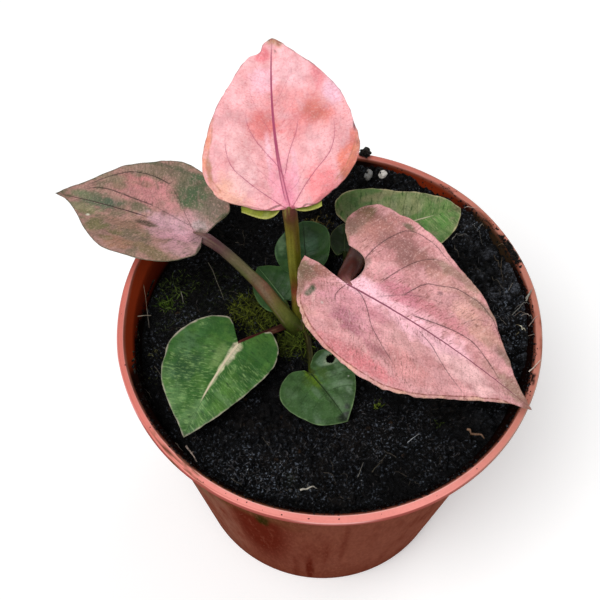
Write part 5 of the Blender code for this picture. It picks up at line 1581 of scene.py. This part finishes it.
STALKS = [
    Stalk("stalk_upright",
          [(-8.6, 3, 99), (-8.7, 5, 103.5), (-9.5, 8.3, 107.6), (-10.2, 9, 116),
           (-10.7, 8.9, 126), (-11.2, 8.6, 138), (-11.6, 8, 144.6), (-11.8, 7.9, 147.2), (-12, 9.8, 148.8)],
          [2.4, 2.3, 2, 1.9, 1.85, 1.85, 1.95, 1.7, 0.6],
          [(70, 76, 22), (96, 92, 26), (140, 66, 48), (106, 98, 22), (118, 118, 30), (116, 104, 36),
           (104, 68, 42), (96, 48, 40), (110, 60, 54)], marks=(150, 148, 62)),
    Stalk("stalk_left",
          [(-9.5, 0.6, 98.5), (-11.6, 0.6, 102.4), (-14.8, 2.4, 106.6), (-19.4, 5.4, 111.8),
           (-23.4, 7.2, 116), (-27.4, 8.8, 120.2), (-31, 9.9, 123.8), (-34.4, 10.5, 126.8),
           (-38.2, 11.8, 127.6)],
          [2.6, 2.4, 2.1, 1.85, 1.6, 1.5, 1.45, 1.6, 0.5],
          [(56, 66, 22), (78, 90, 34), (104, 106, 48), (128, 86, 70), (88, 94, 50), (100, 92, 66),
           (94, 66, 66), (88, 50, 60), (104, 66, 78)], marks=(126, 108, 88)),
    # Dark maroon, darkened further for the shade of the right blade above it: partly painted shade.
    Stalk("stalk_right",
          [(9.2, 25.6, 97), (9, 25.2, 101.5), (8, 23.4, 107.5), (7.3, 18.5, 114.8),
           (6.6, 12, 120.4), (5.2, 6, 124), (3.5, 1, 125.7), (5.6, -1.8, 126.6)],
          [2.4, 2.4, 2.5, 2.7, 2.7, 2.6, 2.1, 0.6],
          [(60, 28, 20), (64, 30, 22), (66, 28, 22), (70, 30, 24), (72, 30, 24), (70, 28, 22), (76, 34, 30),
           (150, 92, 94)], "stalk_red", marks=(116, 70, 58)),
    Stalk("stalk_front_left",
          [(-10.4, 0.9, 97.6), (-12.4, 0.2, 99.2), (-14.6, -1, 99.6),
           (-19.8, -4.2, 100.4), (-22.8, -6.6, 101.8), (-24.7, -9, 103.8), (-25.8, -11.4, 104.6)],
          [1, 1, 1, 0.95, 1, 0.95, 0.35],
          [(40, 26, 16), (44, 24, 16), (50, 24, 18), (64, 26, 22), (84, 32, 30), (96, 44, 40),
           (170, 140, 120)], "stalk_red", marks=(120, 70, 60)),
    Stalk("stalk_front_round",
          [(-6.8, -0.6, 97.6), (-5.8, -3.2, 98.8), (-5.2, -6.4, 98.9),
           (-4.6, -10, 98.7), (-4.3, -13.4, 98.9), (-3.6, -16, 99.5)],
          [0.95, 0.95, 0.9, 0.85, 0.85, 0.35],
          [(40, 36, 14), (40, 36, 14), (36, 34, 12), (40, 44, 12), (52, 64, 14), (64, 84, 24)],
           marks=(80, 80, 40)),
    Stalk("stalk_back_right",
          [(12.6, 30.6, 98), (12.6, 30.6, 101.8), (12.6, 30, 104.6), (12.5, 29.1, 107),
           (14.4, 28.9, 107.8)],
          [1.2, 1.15, 1.1, 1, 0.35],
          [(72, 74, 34), (76, 84, 38), (82, 94, 46), (92, 108, 58), (120, 130, 80)]),
    Stalk("stalk_back_round",
          [(-7.4, 17.2, 97), (-7.4, 17.2, 99.5), (-7.5, 17.6, 102.2), (-7.7, 18.1, 106),
           (-7.9, 19.4, 107.6)],
          [1, 0.95, 0.9, 0.85, 0.3],
          [(50, 56, 24), (54, 62, 26), (56, 66, 28), (54, 68, 30), (54, 70, 34)]),
    Stalk("stalk_small_left",
          [(-12.2, 6.4, 96.6), (-12.3, 6.5, 98.4), (-12.7, 7, 99.4),
           (-13.3, 7.9, 100.2), (-14.6, 9.6, 100.4)],
          [0.8, 0.75, 0.7, 0.65, 0.25],
          [(56, 62, 24), (60, 70, 26), (62, 76, 30), (62, 80, 34), (62, 82, 38)]),
    Stalk("stalk_small_back",
          [(3.6, 25.2, 97), (3.6, 25.2, 98.8), (3.5, 25.5, 99.9), (3.4, 26.1, 100.9),
           (3.4, 27.4, 101.2)],
          [0.7, 0.65, 0.6, 0.55, 0.2],
          [(46, 54, 24), (50, 60, 26), (52, 64, 30), (52, 66, 32), (52, 66, 34)]),
]


STALK_STEPS = 80
STALK_SIDES = 28


def stalk_finish():
    skin = Finish("stalk_skin", Specular_IOR_Level=0.15)
    fine = skin.noise(0.5 * MM, 4)
    cloudy = skin.noise(2.4 * MM, 4, 0.6)
    skin.lay(skin.grade(fine, 0.35, 0.75, 0.0, 0.35), srgb(46, 30, 18))
    skin.lay(skin.grade(cloudy, 0.55, 0.75, 0.0, 0.2), srgb(140, 120, 70))
    skin.feed("Base Color", skin.colour)
    skin.feed("Roughness", skin.grade(cloudy, 0.3, 0.7, 0.34, 0.5))
    skin.feed("Normal", skin.bump(fine, 0.05 * MM, 0.5, skin.bump(cloudy, 0.15 * MM, 0.4)))
    return skin.material


def make_stalk(stalk, finish):
    """A stalk with fine lengthwise stripes, paler on some and darker on others."""
    steps, sides = STALK_STEPS, STALK_SIDES
    share = np.linspace(0, 1, steps)
    route = smooth_curve(np.array(stalk.route) * MM, share)
    radii = np.interp(share, np.linspace(0, 1, len(stalk.radii)), np.array(stalk.radii) * MM)
    radii = radii * (1 + 0.03 * noise(route, 3 * MM, 81, 2))
    points, faces = tube(route, radii, sides)
    colours = np.array([srgb(*colour) for colour in stalk.colours])
    tint = np.stack([np.interp(share, np.linspace(0, 1, len(colours)), channel) for channel in colours.T], 1)
    tint = np.repeat(tint, sides, axis=0)
    turn = np.tile(np.arange(sides) * math.tau / sides, steps)
    around = np.stack([np.cos(turn), np.sin(turn), 0.35 * np.repeat(share, sides) * 10], 1)
    stripes = noise(around * (1, 1, 0.5), 0.42, 82, 2)
    pale = 0.75 * smoothstep(1.9 * stripes - 0.25)[:, None]
    tint = tint * (1 - pale) + pale * np.array(srgb(*stalk.marks))
    tint = tint * (1 + 0.5 * np.minimum(stripes, 0) + 0.2 * noise(points, 1.2 * MM, 88, 2))[:, None]
    return add_piece(stalk.name + "_skin", points, faces, finish, stalk.slot, (stalk.name,), tint=tint)


SHEATHS = 5


def make_crown(finish):
    """The rooted stem, with the torn sheaths of old stalks round it."""
    low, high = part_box("crown_stem")
    heap = Heap()
    share = np.linspace(0, 1, 24)
    x, y = (low.x + high.x) / 2, (low.y + high.y) / 2
    route = np.stack([x + 0 * share, y + 0 * share, low.z + (high.z - low.z) * share], 1)
    points, faces = tube(route, 3 * MM * np.clip(1.4 * np.sqrt(1 - share ** 3), 0.05, 1), STALK_SIDES)
    points += 0.25 * MM * noise(points, 2 * MM, 91, 2)[:, None] * np.array([1, 1, 0])
    heap.add(points, faces, srgb(66, 56, 26))
    for number in range(SHEATHS):
        bearing = number * 1.35 + 0.4
        out = np.array([math.cos(bearing), math.sin(bearing), 0])
        start = np.array([x, y, SOIL_LEVEL]) + 2.6 * MM * out
        blade = start + np.outer(share * 6 * MM, (0, 0, 1)) + np.outer(share ** 2 * 1.6 * MM, out)
        points, faces = tube(blade, 1.1 * MM * (1 - share) ** 0.7 + 0.05 * MM, 10, 0.35)
        heap.add(points, faces, srgb(110, 84, 50) if number % 2 else srgb(74, 70, 32))
    heap.piece("crown", finish, "stalk_green", ("crown_stem",))


# ---------------------------------------------------------------- studio

def make_floor():
    """A plain pale floor, far larger than the pot."""
    half = 3.0
    mesh = bpy.data.meshes.new("floor")
    corners = [(-half, -half, 0), (half, -half, 0), (half, half, 0), (-half, half, 0)]
    mesh.from_pydata(corners, [], [(0, 1, 2, 3)])
    paper = Finish("studio_paper", painted=False, Roughness=0.9, Specular_IOR_Level=0.1,
                   Emission_Color=(1, 1, 1), Emission_Strength=0.2)
    paper.feed("Base Color", paper.mix(paper.grade(paper.noise(40 * MM, 3), 0.3, 0.7, 0.0, 0.15),
                                       (0.93, 0.93, 0.93), (0.9, 0.9, 0.9)))
    mesh.materials.append(paper.material)
    floor = bpy.data.objects.new("floor", mesh)
    bpy.context.scene.collection.objects.link(floor)


def make_light(name, place, size, power, colour=(1, 1, 1)):
    lamp = bpy.data.lights.new(name, "AREA")
    lamp.shape = "DISK"
    lamp.size = size
    lamp.energy = power
    lamp.color = colour
    item = bpy.data.objects.new(name, lamp)
    item.location = place
    aim = Vector((0, 0, 0.1)) - Vector(place)
    item.rotation_euler = aim.to_track_quat("-Z", "Y").to_euler()
    bpy.context.scene.collection.objects.link(item)


def make_studio():
    make_floor()
    make_light("key", (-0.35, -0.45, 1.35), 0.8, 14)
    make_light("fill", (0.7, 0.8, 1.0), 1.0, 4)
    world = bpy.data.worlds.new("studio")
    world.use_nodes = True
    background = world.node_tree.nodes["Background"]
    background.inputs["Color"].default_value = (1, 1, 1, 1)
    background.inputs["Strength"].default_value = 0.32
    bpy.context.scene.world = world
    bpy.context.scene.view_settings.view_transform = "Standard"
    bpy.context.scene.view_settings.look = "None"


def make_camera():
    camera = bpy.data.cameras.new("camera")
    camera.lens = CAMERA_LENS
    camera.sensor_width = 36
    camera.clip_start = 0.01
    camera.clip_end = 20
    item = bpy.data.objects.new("camera", camera)
    aim = Vector(CAMERA_TARGET) - Vector(CAMERA_PLACE)
    turn = aim.to_track_quat("-Z", "Y").to_matrix() @ Euler((0, 0, CAMERA_ROLL)).to_matrix()
    item.location = CAMERA_PLACE
    item.rotation_euler = turn.to_euler()
    bpy.context.scene.collection.objects.link(item)
    bpy.context.scene.camera = item


SOIL_FINISH = soil_finish()
make_pot()
make_soil()
make_crumbs(random.Random(3))
make_slivers(random.Random(17))
make_strands(random.Random(5))
make_twigs(random.Random(7))
make_beads()
make_rim_dirt(random.Random(11))
make_moss(random.Random(13))
SKIN = stalk_finish()
for blade in LEAVES:
    make_leaf(blade)
make_turned_lobes(LEAVES[0], UPRIGHT_LOBES)
for stem in STALKS:
    make_stalk(stem, SKIN)
make_crown(SKIN)
make_studio()
make_camera()
